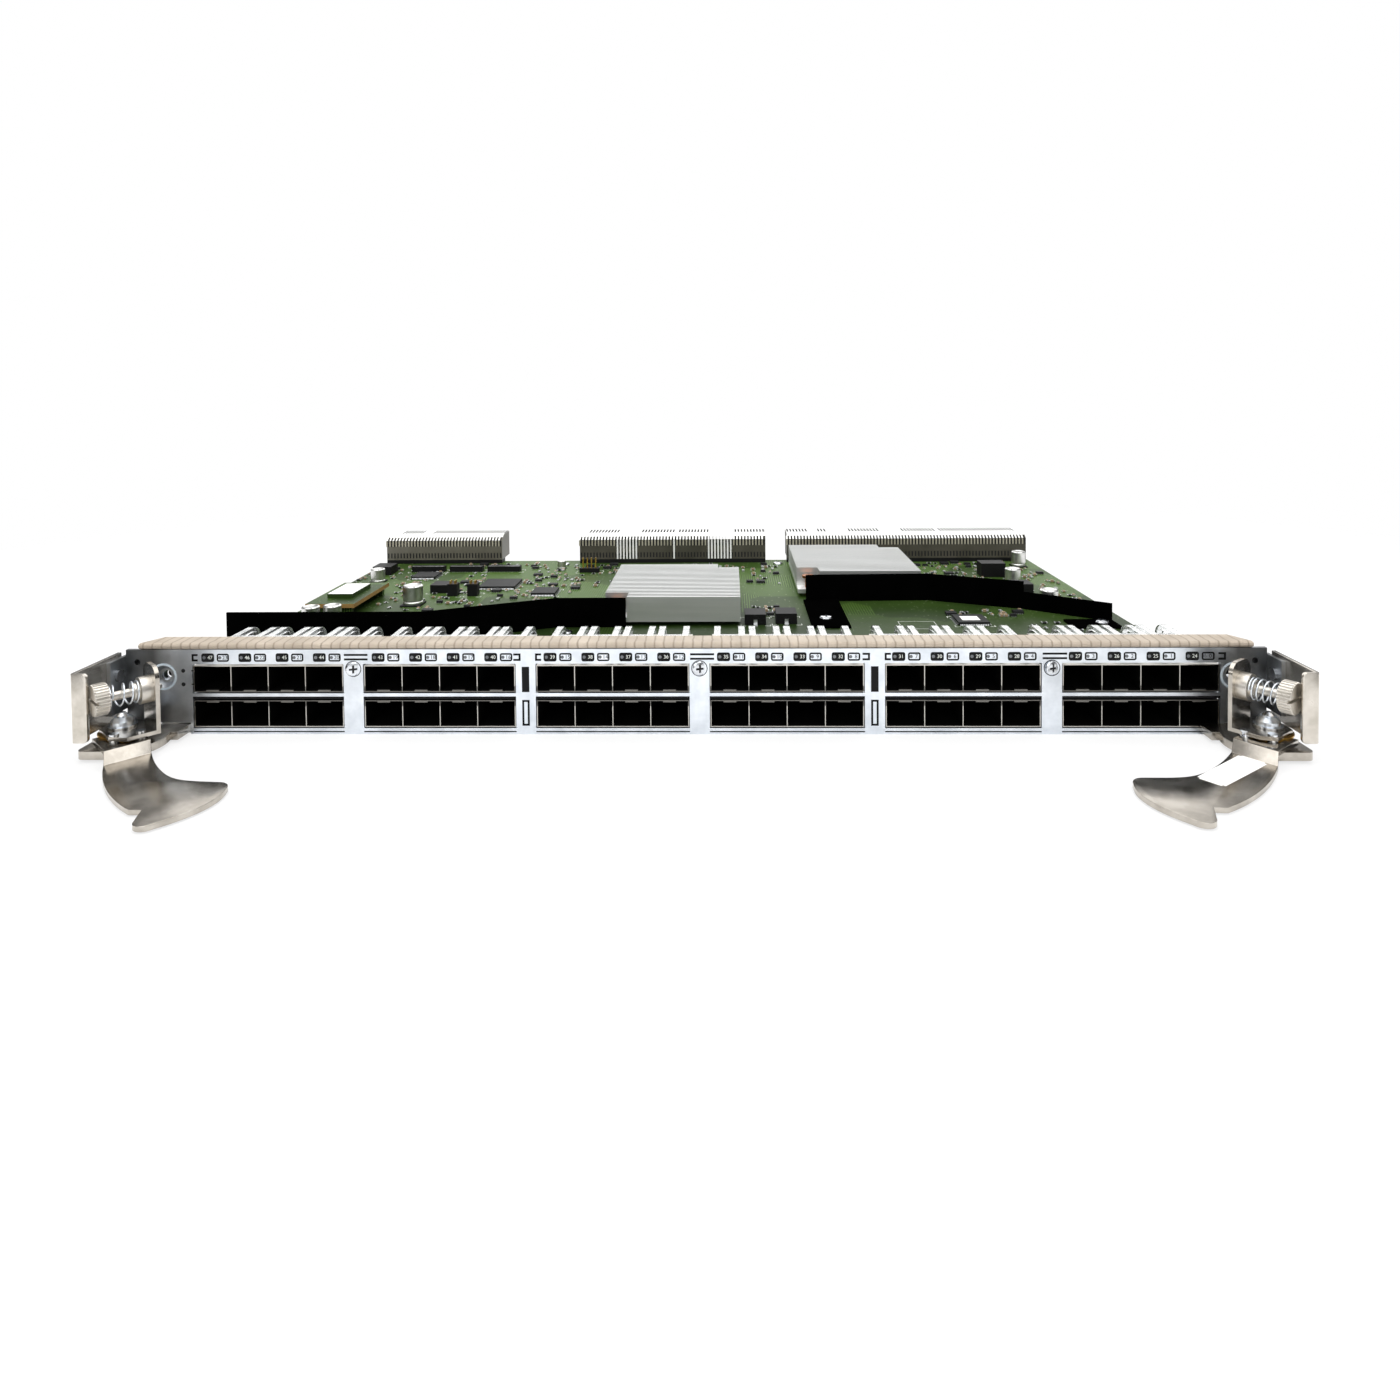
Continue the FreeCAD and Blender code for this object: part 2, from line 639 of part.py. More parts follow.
def make_heat_sink(side, x, y):
    body = doc.addObject("PartDesign::Body", "sink")
    bottom = board_top + s.chip_height
    left = x - s.sink_width / 2
    base = new_sketch(body, "XY_Plane", bottom)
    draw_rectangle(base, left, y, s.sink_width, s.sink_depth)
    extrude(body, base, s.sink_base, "XY_Plane")
    fin = new_sketch(body, "XY_Plane", bottom + s.sink_base)
    draw_rectangle(fin, left, y, s.sink_width, s.fin_thickness)
    fin_pad = extrude(body, fin, s.sink_height - s.sink_base, "XY_Plane")
    count = whole((s.sink_depth - s.fin_thickness) / s.fin_pitch) + 1
    repeat(body, fin_pad, "Y_Axis", count, s.fin_pitch)
    notches = new_sketch(body, "XY_Plane", bottom + s.sink_base)
    wide, deep = s.sink_notch_width, s.sink_notch_depth
    draw_rectangle(notches, left, y, wide, deep)
    draw_rectangle(notches, left + s.sink_width - wide, y + s.sink_depth - deep, wide, deep)
    body.Tip = extrude(body, notches, s.sink_height, "XY_Plane", take_away=True)
    holes = [rod(pin_x, pin_y, bottom, s.pin_radius + s.hole_clearance, s.sink_base)
             for pin_x, pin_y in pin_places(x, y)]
    node(cut(body, holes), f"heat_sink_{side}")


def make_switch_chips():
    aside = s.sink_depth / 2 - s.chip_side / 2
    node(group([middle_box(x, y + aside, board_top, s.chip_side, s.chip_side, s.chip_height)
                for _, x, y in sinks]), "switch_chips")


def make_push_pins():
    pins = []
    for _, x, y in sinks:
        for pin_x, pin_y in pin_places(x, y):
            shank = rod(pin_x, pin_y, s.board_bottom, s.pin_radius,
                        s.board_thickness + s.pin_height)
            head = rod(pin_x, pin_y, board_top + s.pin_height, s.pin_head_radius,
                       s.pin_head_height)
            pins.append(fuse([shank, head]))
    node(group(pins), "heat_sink_pins")


def wall_and_feet(corners, height, feet, screws):
    """A bent upright wall on the board, with flat feet and a screw hole in each foot."""
    thick, bottom = float(s.baffle_thickness), float(board_top)
    pieces = [prism(strip_outline(corners, thick), height, bottom)]
    pieces += [Part.makeBox(length, depth, thick, Vector(x, y, bottom))
               for x, y, length, depth in feet]
    solid = pieces[0].fuse(pieces[1:]) if len(pieces) > 1 else pieces[0]
    holes = [Part.makeCylinder(float(s.screw_radius), thick, Vector(x, y, bottom))
             for x, y in screws]
    return solid.cut(holes) if holes else solid


def make_baffles():
    thick, foot = float(s.baffle_thickness), float(s.baffle_foot)
    sink_edge = float(s.left_sink_x - s.sink_width / 2)
    rear = float(s.left_sink_y) - 2 * thick
    front = rear - float(s.left_baffle_step)
    outer = -float(panel_end) + 3 * thick
    corners = [Vector(outer, front, 0), Vector(-122.0, front, 0),
               Vector(sink_edge - 22.0, rear, 0), Vector(sink_edge + 11.0, rear, 0)]
    screws = [(float(x), y) for x, y in BAFFLE_SCREWS]
    (left_x, left_y), (long_x, long_y), (short_x, short_y) = screws
    feet = [(left_x - 9.0, left_y - foot / 2, 1.4 * foot, front + thick / 2 - left_y + foot / 2)]
    left = wall_and_feet(corners, float(s.baffle_height), feet, screws[:1])
    node(shaped(left.removeSplitter()), "air_baffle_left")

    start = float(s.right_sink_x - s.sink_width / 2) + 3.4
    rear = float(s.right_sink_y) - 10.0
    corners = [Vector(start, rear, 0), Vector(119.0, rear + 2.0, 0),
               Vector(float(from_right(41.6)), rear - 17.0, 0)]
    feet = [(start - 1.4, long_y - foot, 1.3 * foot, rear + thick / 2 - long_y + foot)]
    high = wall_and_feet(corners, float(s.baffle_height), feet, screws[1:2])
    corners = [corners[-1], Vector(float(from_right(7.6)), 98.0, 0)]
    feet = [(short_x - 1.1 * foot, short_y - foot / 2, 1.6 * foot, foot)]
    low = wall_and_feet(corners, float(s.baffle_low_height), feet, screws[2:])
    node(shaped(high.fuse(low).removeSplitter()), "air_baffle_right")


# --- Backplane connectors -------------------------------------------------------------------

def make_connector(name, start, wafers, open_runs=()):
    body = doc.addObject("PartDesign::Body", "connector")
    front = s.connector_front
    rear = front + s.connector_depth
    bottom = board_top + s.connector_base
    top = board_top + s.connector_base + s.connector_height
    side = new_sketch(body, "YZ_Plane", start)
    draw_polygon(side, [(front, bottom), (rear, bottom), (rear, top),
                        (front + s.connector_slope, top), (front, bottom + s.connector_shoulder)])
    extrude(body, side, s.wafer_pitch * wafers, "YZ_Plane")
    first = start + s.wafer_pitch / 2 - s.wafer_slot / 2
    low = (bottom + s.low_slot_bottom, s.low_slot_top - s.low_slot_bottom)
    high = (bottom + s.high_slot_bottom, s.connector_height - s.high_slot_bottom)
    for slot_bottom, slot_height in (low, high):
        slot = new_sketch(body, "XZ_Plane", front)
        draw_rectangle(slot, first, slot_bottom, s.wafer_slot, slot_height)
        pocket = extrude(body, slot, s.slot_depth, "XZ_Plane", take_away=True)
        repeat(body, pocket, "X_Axis", wafers, s.wafer_pitch)
    through = []
    for run_start, run_length in open_runs:
        for wafer in range(run_start, run_start + run_length):
            x = first + s.wafer_pitch * wafer
            for slot_bottom, slot_height in (low, high):
                through.append(box(x, front, slot_bottom, s.wafer_slot, s.connector_depth,
                                   slot_height))
    node(cut(body, through) if through else body, f"backplane_connector_{name}")
    return box(start, front, board_top, s.wafer_pitch * wafers, s.board_rear - front,
               s.connector_base)


def make_connectors():
    bases = [
        make_connector("left", s.left_connector_start, s.left_connector_wafers),
        make_connector("middle", s.middle_connector_start, s.middle_connector_wafers,
                       open_runs=((12, 7), (30, 1), (41, 8))),
        make_connector("right", s.right_connector_start, s.right_connector_wafers),
    ]
    node(group(bases), "connector_bases")


# --- Board components -----------------------------------------------------------------------

def make_components():
    """Larger parts on the board: place, then length, depth and height."""
    top = board_top
    capacitors = [(from_left(54.6), 135.0, 5.1, 10.5), (from_left(15.6), 189.0, 4.0, 8.0),
                  (from_left(26.6), 101.0, 4.2, 8.5), (from_left(17.1), 98.5, 4.2, 8.5),
                  (from_right(12.1), 226.0, 4.2, 9.5), (from_right(30.6), 176.0, 4.2, 9.5),
                  (from_right(28.1), 124.5, 4.4, 9.5), (-88.0, 225.0, 2.6, 5.0)]
    node(group([rod(x, y, top, radius, height) for x, y, radius, height in capacitors]),
         "capacitors")
    chips = [(from_left(39.6), 203.0, 14.0, 14.0, 1.6),
             (from_left(90.1), 179.0, 20.0, 20.0, 1.8),
             (-85.5, 160.0, 13.0, 14.0, 1.8), (130.5, 98.5, 14.5, 14.5, 1.7)]
    blocks = [(from_left(60.6), 166.0, 10.5, 11.0, 4.5),
              (from_left(10.6), 214.0, 11.0, 12.0, 5.0),
              (from_right(35.6), 201.0, 14.0, 10.0, 8.0),
              (from_right(34.1), 152.0, 11.0, 11.0, 7.0)]
    switches = [(27.9, 99.5, 10.0, 12.0, 5.0), (42.7, 101.0, 10.0, 12.0, 5.0)]
    headers = [(from_left(inset), 218.5, 20.0, 4.6, 3.4) for inset in (36.1, 59.4, 82.6)]
    jumpers = [(from_left(inset), 156.0, 5.4, 5.4, 6.6) for inset in (69.6, 80.6)]
    housing = middle_box(-69.2, 213.0, top, 12.0, 3.0, 2.6)
    pins = [middle_box(-69.2 + 2.54 * step, 214.2, top + 2.6, 0.64, 0.64, 6.2)
            for step in (-1.5, -0.5, 0.5, 1.5)]
    families = {"control_chips": (chips, []), "power_parts": (blocks + switches, []),
                "board_headers": (headers + jumpers, [fuse([housing] + pins)])}
    for label, (places, others) in families.items():
        blocks = [middle_box(x, y - depth / 2, top, length, depth, height)
                  for x, y, length, depth, height in places]
        node(group(blocks + others), label)


def make_power_module():
    """A small raised board with one tall block, on two legs."""
    x = from_left(8.6)
    y, length, depth, lift, thick = 111.0, 24.5, 48.0, 4.4, 2.0
    legs = [box(x + 2.0, y + step, board_top, length - 4.0, 3.0, lift) for step in (2.0, 43.0)]
    board = box(x, y, board_top + lift, length, depth, thick)
    block = box(x + 6.0, y + 12.0, board_top + lift + thick, 13.0, 24.0, 2.2)
    node(group(legs + [board, block]), "power_module")


# --- Latch at each end ----------------------------------------------------------------------

def tongue_start(hand):
    """How far from the card's middle a latch base's tongue begins."""
    return panel_end - NOTCH[hand] + s.running_clearance


def latch_screw_places():
    """Two screws through each latch base's tongue, behind the panel."""
    rears = (s.latch_tongue_depth * 0.3, s.latch_tongue_depth * 0.8)
    return [(-hand * (tongue_start(hand) + TONGUE[hand] / 2), rear)
            for _, hand, _ in SIDES for rear in rears]


def make_latch_base(side, hand):
    outer = float(panel_end + s.end_tab_thickness)
    width, reach = float(s.latch_base_width), float(s.latch_base_reach)
    thick, bottom = float(s.latch_base_thickness), float(s.tray_thickness)
    gap = float(s.running_clearance)
    pivot = Vector(-float(pivot_x), float(pivot_y), bottom)
    shoulder = float(s.lever_inner_edge) + 2 * gap
    plate = Part.makeBox(outer + pivot.x, reach - gap, thick, Vector(-outer, -reach, bottom))
    plate = plate.fuse([Part.makeCylinder(float(s.latch_swing), thick, pivot),
                        Part.makeBox(width, -gap - pivot.y - shoulder, thick,
                                     Vector(-outer, pivot.y + shoulder, bottom))])
    plate = plate.common(Part.makeBox(width, reach - gap, thick, Vector(-outer, -reach, bottom)))
    plate = plate.removeSplitter()
    tongue = Part.makeBox(float(TONGUE[hand]), float(s.latch_tongue_depth) + gap, thick,
                          Vector(-float(tongue_start(hand) + TONGUE[hand]), -gap, bottom))

    def outer_front(edge):
        middle = edge.CenterOfMass
        return runs_along(edge, Vector(0, 0, 1)) and middle.x < 1e-6 - outer and middle.y < -2 * gap

    plate = filleted(plate, float(s.latch_base_corner), outer_front)
    solid = for_hand(plate.fuse(tongue).removeSplitter(), hand)
    holes = [Part.makeCylinder(float(s.pivot_radius), thick,
                               Vector(-hand * float(pivot_x), float(pivot_y), bottom))]
    holes += [Part.makeCylinder(float(s.screw_radius), thick, Vector(float(x), float(y), bottom))
              for x, y in latch_screw_places()]
    node(shaped(solid.cut(holes)), f"latch_base_{side}")


def make_latch_screws():
    screws = []
    top = s.tray_thickness + s.latch_base_thickness
    for x, y in latch_screw_places():
        shank = rod(x, y, s.running_clearance, s.screw_radius, top - s.running_clearance)
        head = rod(x, y, top, s.latch_screw_head_radius, s.screw_head_height)
        screws.append(fuse([shank, head]))
    node(group(screws), "latch_base_screws")


def make_guard(side, hand):
    inner = float(panel_end + s.end_tab_thickness)
    thick = float(s.guard_thickness)
    outer = inner + thick
    reach = float(s.guard_reach)
    run = [Vector(-outer + float(s.guard_flange), -reach, 0), Vector(-outer, -reach, 0),
           Vector(-outer, -float(s.guard_rear_gap), 0)]
    height = float(s.guard_top - s.guard_bottom)
    outline = strip_outline(run[::-1], thick)
    sheet_metal = prism(outline, height, float(s.guard_bottom))

    def bend(edge):
        middle = edge.CenterOfMass
        on_corner = abs(middle.x + outer) < 1e-6 and abs(middle.y + reach) < 1e-6
        return runs_along(edge, Vector(0, 0, 1)) and on_corner

    def flange_corner(edge):
        return runs_along(edge, Vector(0, 1, 0)) and edge.CenterOfMass.x > -inner + thick

    sheet_metal = filleted(sheet_metal, thick, bend)
    sheet_metal = filleted(sheet_metal, float(s.guard_round), flange_corner)
    hole = Part.makeCylinder(float(s.rivet_radius), thick,
                             Vector(-outer, -float(s.rivet_reach), float(s.rivet_height)),
                             Vector(1, 0, 0))
    node(shaped(for_hand(sheet_metal.cut(hole), hand)), f"guard_{side}")


def make_guard_rivets():
    rivets = []
    grip = s.end_tab_thickness + s.guard_thickness
    for _, hand, _ in SIDES:
        start = -panel_end - grip if hand > 0 else panel_end
        y, z = -s.rivet_reach, s.rivet_height
        shank = rod(start, y, z, s.rivet_radius, grip, "X")
        heads = [rod(start - s.rivet_head_height, y, z, s.rivet_head_radius,
                     s.rivet_head_height, "X"),
                 rod(start + grip, y, z, s.rivet_head_radius, s.rivet_head_height, "X")]
        rivets.append(fuse([shank] + heads))
    node(group(rivets), "guard_rivets")


def ring(x, y, z, radius, bore, thick):
    """A washer with its hole."""
    return cut(rod(x, y, z, radius, thick), [rod(x, y, z, bore, thick)])


def make_pivots():
    """The fixed studs, their thrust washers underneath, and the washers and nuts on top."""
    base_top = s.tray_thickness + s.latch_base_thickness
    dome = s.pivot_radius / 2
    washer_z = bracket_top + s.running_clearance
    nut_z = washer_z + s.top_washer_thickness
    low = s.pivot_nut_height / 2
    bore = s.pivot_radius
    studs, thrust_washers, top_washers, nuts = [], [], [], []
    for _, hand, _ in SIDES:
        x, y = -hand * pivot_x, pivot_y
        studs.append(fuse([rod(x, y, s.tray_thickness, bore,
                               s.pivot_top - s.tray_thickness - dome),
                           cone(x, y, s.pivot_top - dome, bore, dome, dome)]))
        thrust_washers.append(ring(x, y, base_top, s.thrust_washer_radius, bore,
                                   s.thrust_washer_thickness))
        top_washers.append(ring(x, y, washer_z, s.top_washer_radius, bore,
                                s.top_washer_thickness))
        nut = fuse([rod(x, y, nut_z, s.pivot_nut_radius, low),
                    cone(x, y, nut_z + low, s.pivot_nut_radius, s.pivot_nut_radius * 0.7,
                         s.pivot_nut_height - low)])
        nuts.append(cut(nut, [rod(x, y, nut_z, bore, s.pivot_nut_height)]))
    for label, items in (("pivot_studs", studs), ("pivot_nuts", nuts),
                         ("pivot_washers", thrust_washers + top_washers)):
        node(group(items), label)


# --- Lever pieces: each is built in the lever's own frame, with the pivot at the origin, the
# handle along +X and the thumbscrew along +Y as they lie when the lever is closed. -----------

def on_lever(item, hand, open_angle, label, offset=0, height=0):
    """Set a piece on its lever: turned to the open angle, offset along the handle."""
    item.Placement = FreeCAD.Placement(Vector(), FreeCAD.Rotation(Vector(0, 0, 1), 0))
    bind(item, ".Placement.Rotation.Angle", -hand * open_angle)
    x = -hand * (pivot_x - offset * cosine(open_angle))
    y = pivot_y - offset * sine(open_angle)
    place_at(item, x, y, height)
    return node(item, label)


def spline(points):
    curve = Part.BSplineCurve()
    curve.interpolate([Vector(*point, 0) for point in points])
    return curve.toShape()


def handle_outline():
    """Plan of the handle: a waist that sweeps out to a hooked grip."""
    reach = float(s.handle_length)
    start = float(s.lever_bend_start)
    inner, outer = float(s.lever_inner_edge), float(s.lever_outer_edge)
    waist = inner - 2.6 - float(s.handle_waist)
    hook = (0.82 * reach, inner + 7.2)
    brow = (0.90 * reach, inner + 6.6)
    heel = (1.02 * reach, outer - 2.6)
    toe = (0.945 * reach, outer - 6.6)
    notch = (0.855 * reach, outer - 2.4)
    barb = (0.815 * reach, outer - 5.2)
    inner_curve = spline([(start, inner), (0.36 * reach, inner - 2.4), (0.50 * reach, inner - 3.3),
                          (0.64 * reach, inner - 2.0), (0.75 * reach, inner + 3.0), hook])
    tip = Part.Arc(Vector(*hook, 0), Vector(0.86 * reach, inner + 8.0, 0), Vector(*brow, 0))
    grip = spline([brow, (0.975 * reach, inner + 0.8), (1.018 * reach, inner - 9.0), heel])
    end = Part.Arc(Vector(*heel, 0), Vector(0.995 * reach, outer - 6.9, 0), Vector(*toe, 0))
    outer_curve = spline([barb, (0.60 * reach, outer - 6.1), (0.41 * reach, waist),
                          (0.26 * reach, outer - 1.5), (start, outer)])
    straight = [(toe, notch), (notch, barb), ((start, outer), (start, inner))]
    edges = [inner_curve, tip.toShape(), grip, end.toShape(), outer_curve]
    edges += [Part.LineSegment(Vector(*a, 0), Vector(*b, 0)).toShape() for a, b in straight]
    return Part.Face(Part.Wire(Part.__sortEdges__(edges)))


def lever_rivet_places():
    return [Vector(11.4, 2.8, 0), Vector(8.2, -4.9, 0)]


def make_lever(side, hand, angle):
    thick, drop = float(s.lever_thickness), float(s.lever_drop)
    start, end = float(s.lever_bend_start), float(s.lever_bend_end)
    inner, outer = float(s.lever_inner_edge), float(s.lever_outer_edge)
    jaw, jaw_width = float(s.lever_jaw_reach), float(s.lever_jaw_width)
    reach = 2 * float(s.handle_length)
    up = Vector(0, 0, thick + 2 * drop)
    plan = [handle_outline().extrude(up),
            Part.makeBox(start, inner - outer, up.z, Vector(0, outer, 0)),
            Part.makeCylinder(float(s.lever_lobe_radius), up.z),
            Part.makeBox(jaw, jaw_width, up.z, Vector(-jaw, -jaw_width / 2, 0))]
    plan = plan[0].fuse(plan[1:]).removeSplitter()
    plan.translate(Vector(0, 0, -2 * drop))
    run = [Vector(-reach, 0, 0), Vector(start, 0, 0), Vector(end, -drop, 0),
           Vector(reach, -drop, 0)]
    bent = prism(strip_outline(run, thick), reach)
    bent.rotate(Vector(0, 0, 0), Vector(1, 0, 0), 90)
    bent.translate(Vector(0, reach / 2, 0))
    lever = plan.common(bent)
    holes = [Part.makeCylinder(float(s.pivot_radius + s.running_clearance), 2 * thick,
                               Vector(0, 0, -thick / 2))]
    holes += [Part.makeCylinder(1.0, 2 * thick, place - Vector(0, 0, thick / 2))
              for place in lever_rivet_places()]
    on_lever(shaped(for_hand(lever.cut(holes), hand)), hand, angle, f"lever_{side}",
             height=lever_bottom)


def make_screw_bracket(side, hand, angle):
    thick, near = float(s.ear_thickness), float(s.ear_near)
    width, offset = float(s.ear_width), float(OFFSET[hand])
    left, right = offset - width / 2, offset + width / 2
    front, lobe = -6.8, 6.4
    base = prism([Vector(-lobe, -2.4, 0), Vector(-2.8, front, 0), Vector(8.6, front, 0),
                  Vector(right, -2.4, 0), Vector(right, near + thick, 0),
                  Vector(left, near + thick, 0), Vector(-lobe, 3.2, 0)], thick)
    tall = float(s.ear_top - bracket_bottom)
    ear = Part.makeBox(width, thick, tall, Vector(left, near, 0))

    def top_corner(edge):
        return runs_along(edge, Vector(0, 1, 0)) and edge.CenterOfMass.z > tall - 1e-6

    ear = filleted(ear, float(s.ear_round), top_corner)
    bracket = base.fuse(ear).removeSplitter()
    axis_height = float(s.screw_axis_height - bracket_bottom)
    holes = [Part.makeCylinder(float(s.pivot_radius + s.running_clearance), thick),
             Part.makeCylinder(float(s.ferrule_nose_radius), thick,
                               Vector(offset, near, axis_height), Vector(0, 1, 0))]
    holes += [Part.makeCylinder(1.0, thick, place) for place in lever_rivet_places()]
    on_lever(shaped(for_hand(bracket.cut(holes), hand)), hand, angle, f"screw_bracket_{side}",
             height=bracket_bottom)


def make_lever_rivets(side, hand, angle):
    """Two shouldered rivets that tie the bracket to the lever past the brass washer."""
    spacer = float(s.brass_washer_thickness)
    head = 0.6
    rivets = []
    for place in lever_rivet_places():
        shank = Part.makeCylinder(1.0, float(bracket_top - lever_bottom) + head, place)
        collar = Part.makeCylinder(1.6, spacer, place + Vector(0, 0, float(s.lever_thickness)))
        cap = Part.makeCylinder(1.6, head,
                                place + Vector(0, 0, float(bracket_top - lever_bottom)))
        rivets.append(for_hand(shank.fuse([collar, cap]).removeSplitter(), hand))
    on_lever(shaped(Part.makeCompound(rivets)), hand, angle, f"lever_rivets_{side}",
             height=lever_bottom)


def make_brass_washer(side, hand):
    bore = s.pivot_radius + s.running_clearance
    node(ring(-hand * pivot_x, pivot_y, lever_top, s.brass_washer_radius, bore,
              s.brass_washer_thickness), f"brass_washer_{side}")


def turned(profile):
    """A turned piece: its half profile in XY, revolved about the Y axis."""
    body = doc.addObject("PartDesign::Body", "turned")
    sketch = new_sketch(body, "XY_Plane", 0)
    draw_polygon(sketch, profile)
    revolution = body.newObject("PartDesign::Revolution", "revolution")
    revolution.Profile = sketch
    revolution.ReferenceAxis = (sketch, ["V_Axis"])
    revolution.Angle = 360
    body.Tip = revolution
    return body


def make_ferrule(side, hand, angle):
    bore = s.thumb_shank_radius + s.thumb_shank_clearance
    front = ferrule_rear - s.ferrule_neck_length
    rear = s.ear_near + s.ferrule_nose_length
    profile = [(bore, front), (s.ferrule_neck_radius, front), (s.ferrule_neck_radius, ferrule_rear),
               (s.ferrule_radius, ferrule_rear), (s.ferrule_radius, s.ear_near),
               (s.ferrule_nose_radius, s.ear_near), (s.ferrule_nose_radius, rear), (bore, rear)]
    on_lever(turned(profile), hand, angle, f"ferrule_{side}", OFFSET[hand],
             s.screw_axis_height)


def make_thumbscrew(side, hand, angle):
    chamfer = s.knurl_radius
    back = s.knob_seat - s.knob_thickness
    shoulder = s.thumb_tip - s.thumb_tip_cone
    profile = [(0, back), (s.knob_radius - chamfer, back), (s.knob_radius, back + chamfer),
               (s.knob_radius, s.knob_seat - chamfer), (s.knob_radius - chamfer, s.knob_seat),
               (s.thumb_shank_radius, s.knob_seat), (s.thumb_shank_radius, shoulder),
               (s.thumb_shank_radius / 2, s.thumb_tip), (0, s.thumb_tip)]
    knurls = []
    count = int(float(s.knurl_count))
    length = float(s.knob_thickness)
    for step in range(count):
        turn = 2 * math.pi * step / count
        middle = Vector(math.cos(turn), 0, math.sin(turn)) * float(s.knob_radius)
        middle.y = float(back)
        knurls.append(Part.makeCylinder(float(s.knurl_radius), length, middle, Vector(0, 1, 0)))
    slot = middle_box(0, back, -s.knob_slot_width / 2, 2 * s.knob_radius, s.knob_slot_depth,
                      s.knob_slot_width)
    screw = cut(turned(profile), [shaped(Part.makeCompound(knurls)), slot])
    on_lever(screw, hand, angle, f"thumbscrew_{side}", OFFSET[hand], s.screw_axis_height)


def make_seat_washer(side, hand, angle):
    bore = s.thumb_shank_radius + s.thumb_shank_clearance
    rear = s.knob_seat + s.seat_washer_thickness
    profile = [(bore, s.knob_seat), (s.seat_washer_radius, s.knob_seat),
               (s.seat_washer_radius, rear), (bore, rear)]
    on_lever(turned(profile), hand, angle, f"seat_washer_{side}", OFFSET[hand],
             s.screw_axis_height)


def coil(radius, wire, start, end):
    """A coil about the Y axis, with a six-sided wire."""
    steps = int(float(s.spring_turns) * float(s.spring_steps))
    sides = 6
    rings = []
    for step in range(steps + 1):
        turn = 2 * math.pi * step / float(s.spring_steps)
        out = Vector(math.cos(turn), 0, math.sin(turn))
        middle = out * radius + Vector(0, start + (end - start) * step / steps, 0)
        corners = [2 * math.pi * side / sides for side in range(sides)]
        rings.append([middle + out * (wire * math.cos(corner))
                      + Vector(0, wire * math.sin(corner), 0) for corner in corners])
    faces = [rings[0][::-1], rings[-1]]
    for near, far in zip(rings, rings[1:]):
        for side in range(sides):
            after = (side + 1) % sides
            faces.append([near[side], near[after], far[after]])
            faces.append([near[side], far[after], far[side]])
    flat = [Part.Face(Part.makePolygon(corners + corners[:1])) for corners in faces]
    shell = Part.makeShell(flat)
    shell.sewShape()
    return Part.makeSolid(Part.Shell(shell.Faces))


def make_spring(side, hand, angle):
    wire = float(s.spring_wire_radius)
    start = float(s.knob_seat + s.seat_washer_thickness) + wire
    spring = coil(float(s.spring_radius), wire, start, float(ferrule_rear) - wire)
    on_lever(shaped(spring), hand, angle, f"thumbscrew_spring_{side}", OFFSET[hand],
             s.screw_axis_height)


def make_lock_nuts():
    y, z = s.dimple_depth + s.dimple_wall, s.screw_axis_height
    bore = s.thumb_shank_radius + s.thumb_shank_clearance
    nuts = []
    for _, hand, _ in SIDES:
        x = -hand * (pivot_x - OFFSET[hand])
        nuts.append(cut(rod(x, y, z, s.lock_nut_radius, s.lock_nut_length, "Y"),
                        [rod(x, y, z, bore, s.lock_nut_length, "Y")]))
    node(group(nuts), "lock_nuts")


# --- The whole card -------------------------------------------------------------------------

make_front_panel()
make_gasket()
make_panel_screws()
make_board()
make_tray()
make_standoffs()
for row_name in ("upper", "lower"):
    make_host_connectors(row_name)
for cage_index in range(CAGES):
    node(group([make_cage("upper", cage_index), make_cage("lower", cage_index)]),
         f"port_cages_{cage_index + 1}")
make_light_pipes()
for sink in sinks:
    make_heat_sink(*sink)
make_switch_chips()
make_push_pins()
make_baffles()
make_connectors()
make_components()
make_power_module()
make_latch_screws()
make_guard_rivets()
make_pivots()
make_lock_nuts()
for side_name, side_hand, side_angle in SIDES:
    make_latch_base(side_name, side_hand)
    make_guard(side_name, side_hand)
    make_lever(side_name, side_hand, side_angle)
    make_screw_bracket(side_name, side_hand, side_angle)
    make_lever_rivets(side_name, side_hand, side_angle)
    make_brass_washer(side_name, side_hand)
    make_ferrule(side_name, side_hand, side_angle)
    make_thumbscrew(side_name, side_hand, side_angle)
    make_seat_washer(side_name, side_hand, side_angle)
    make_spring(side_name, side_hand, side_angle)

doc.recompute()
for item in doc.Objects:
    if "Invalid" in item.State or "Error" in item.State:
        raise RuntimeError(f"{item.Label} did not compute: {item.State}")

os.makedirs("parts", exist_ok=True)
for item in nodes:
    if item.Shape.isNull() or not item.Shape.isValid():
        raise RuntimeError(f"{item.Label} has no valid shape")
    item.Shape.exportStep(f"parts/{item.Label}.step")
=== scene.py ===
# %% [markdown]
# # A switch line card, dressed in Blender
# A line card slides into a large network chassis. Its narrow front panel carries two rows of
# square ports, an ejector lever swings at each end, and behind the panel lies a long green
# circuit board with heat sinks, air baffles and the tall connectors that meet the backplane.
# The rigid shapes come from the CAD model. This lesson gives them their finishes and adds what
# is too small for the CAD: printed marks, small parts, leads, springs and labels.

# %% Load the CAD model
import json
import math
import random
import bpy
import bmesh
from mathutils import Matrix, Vector


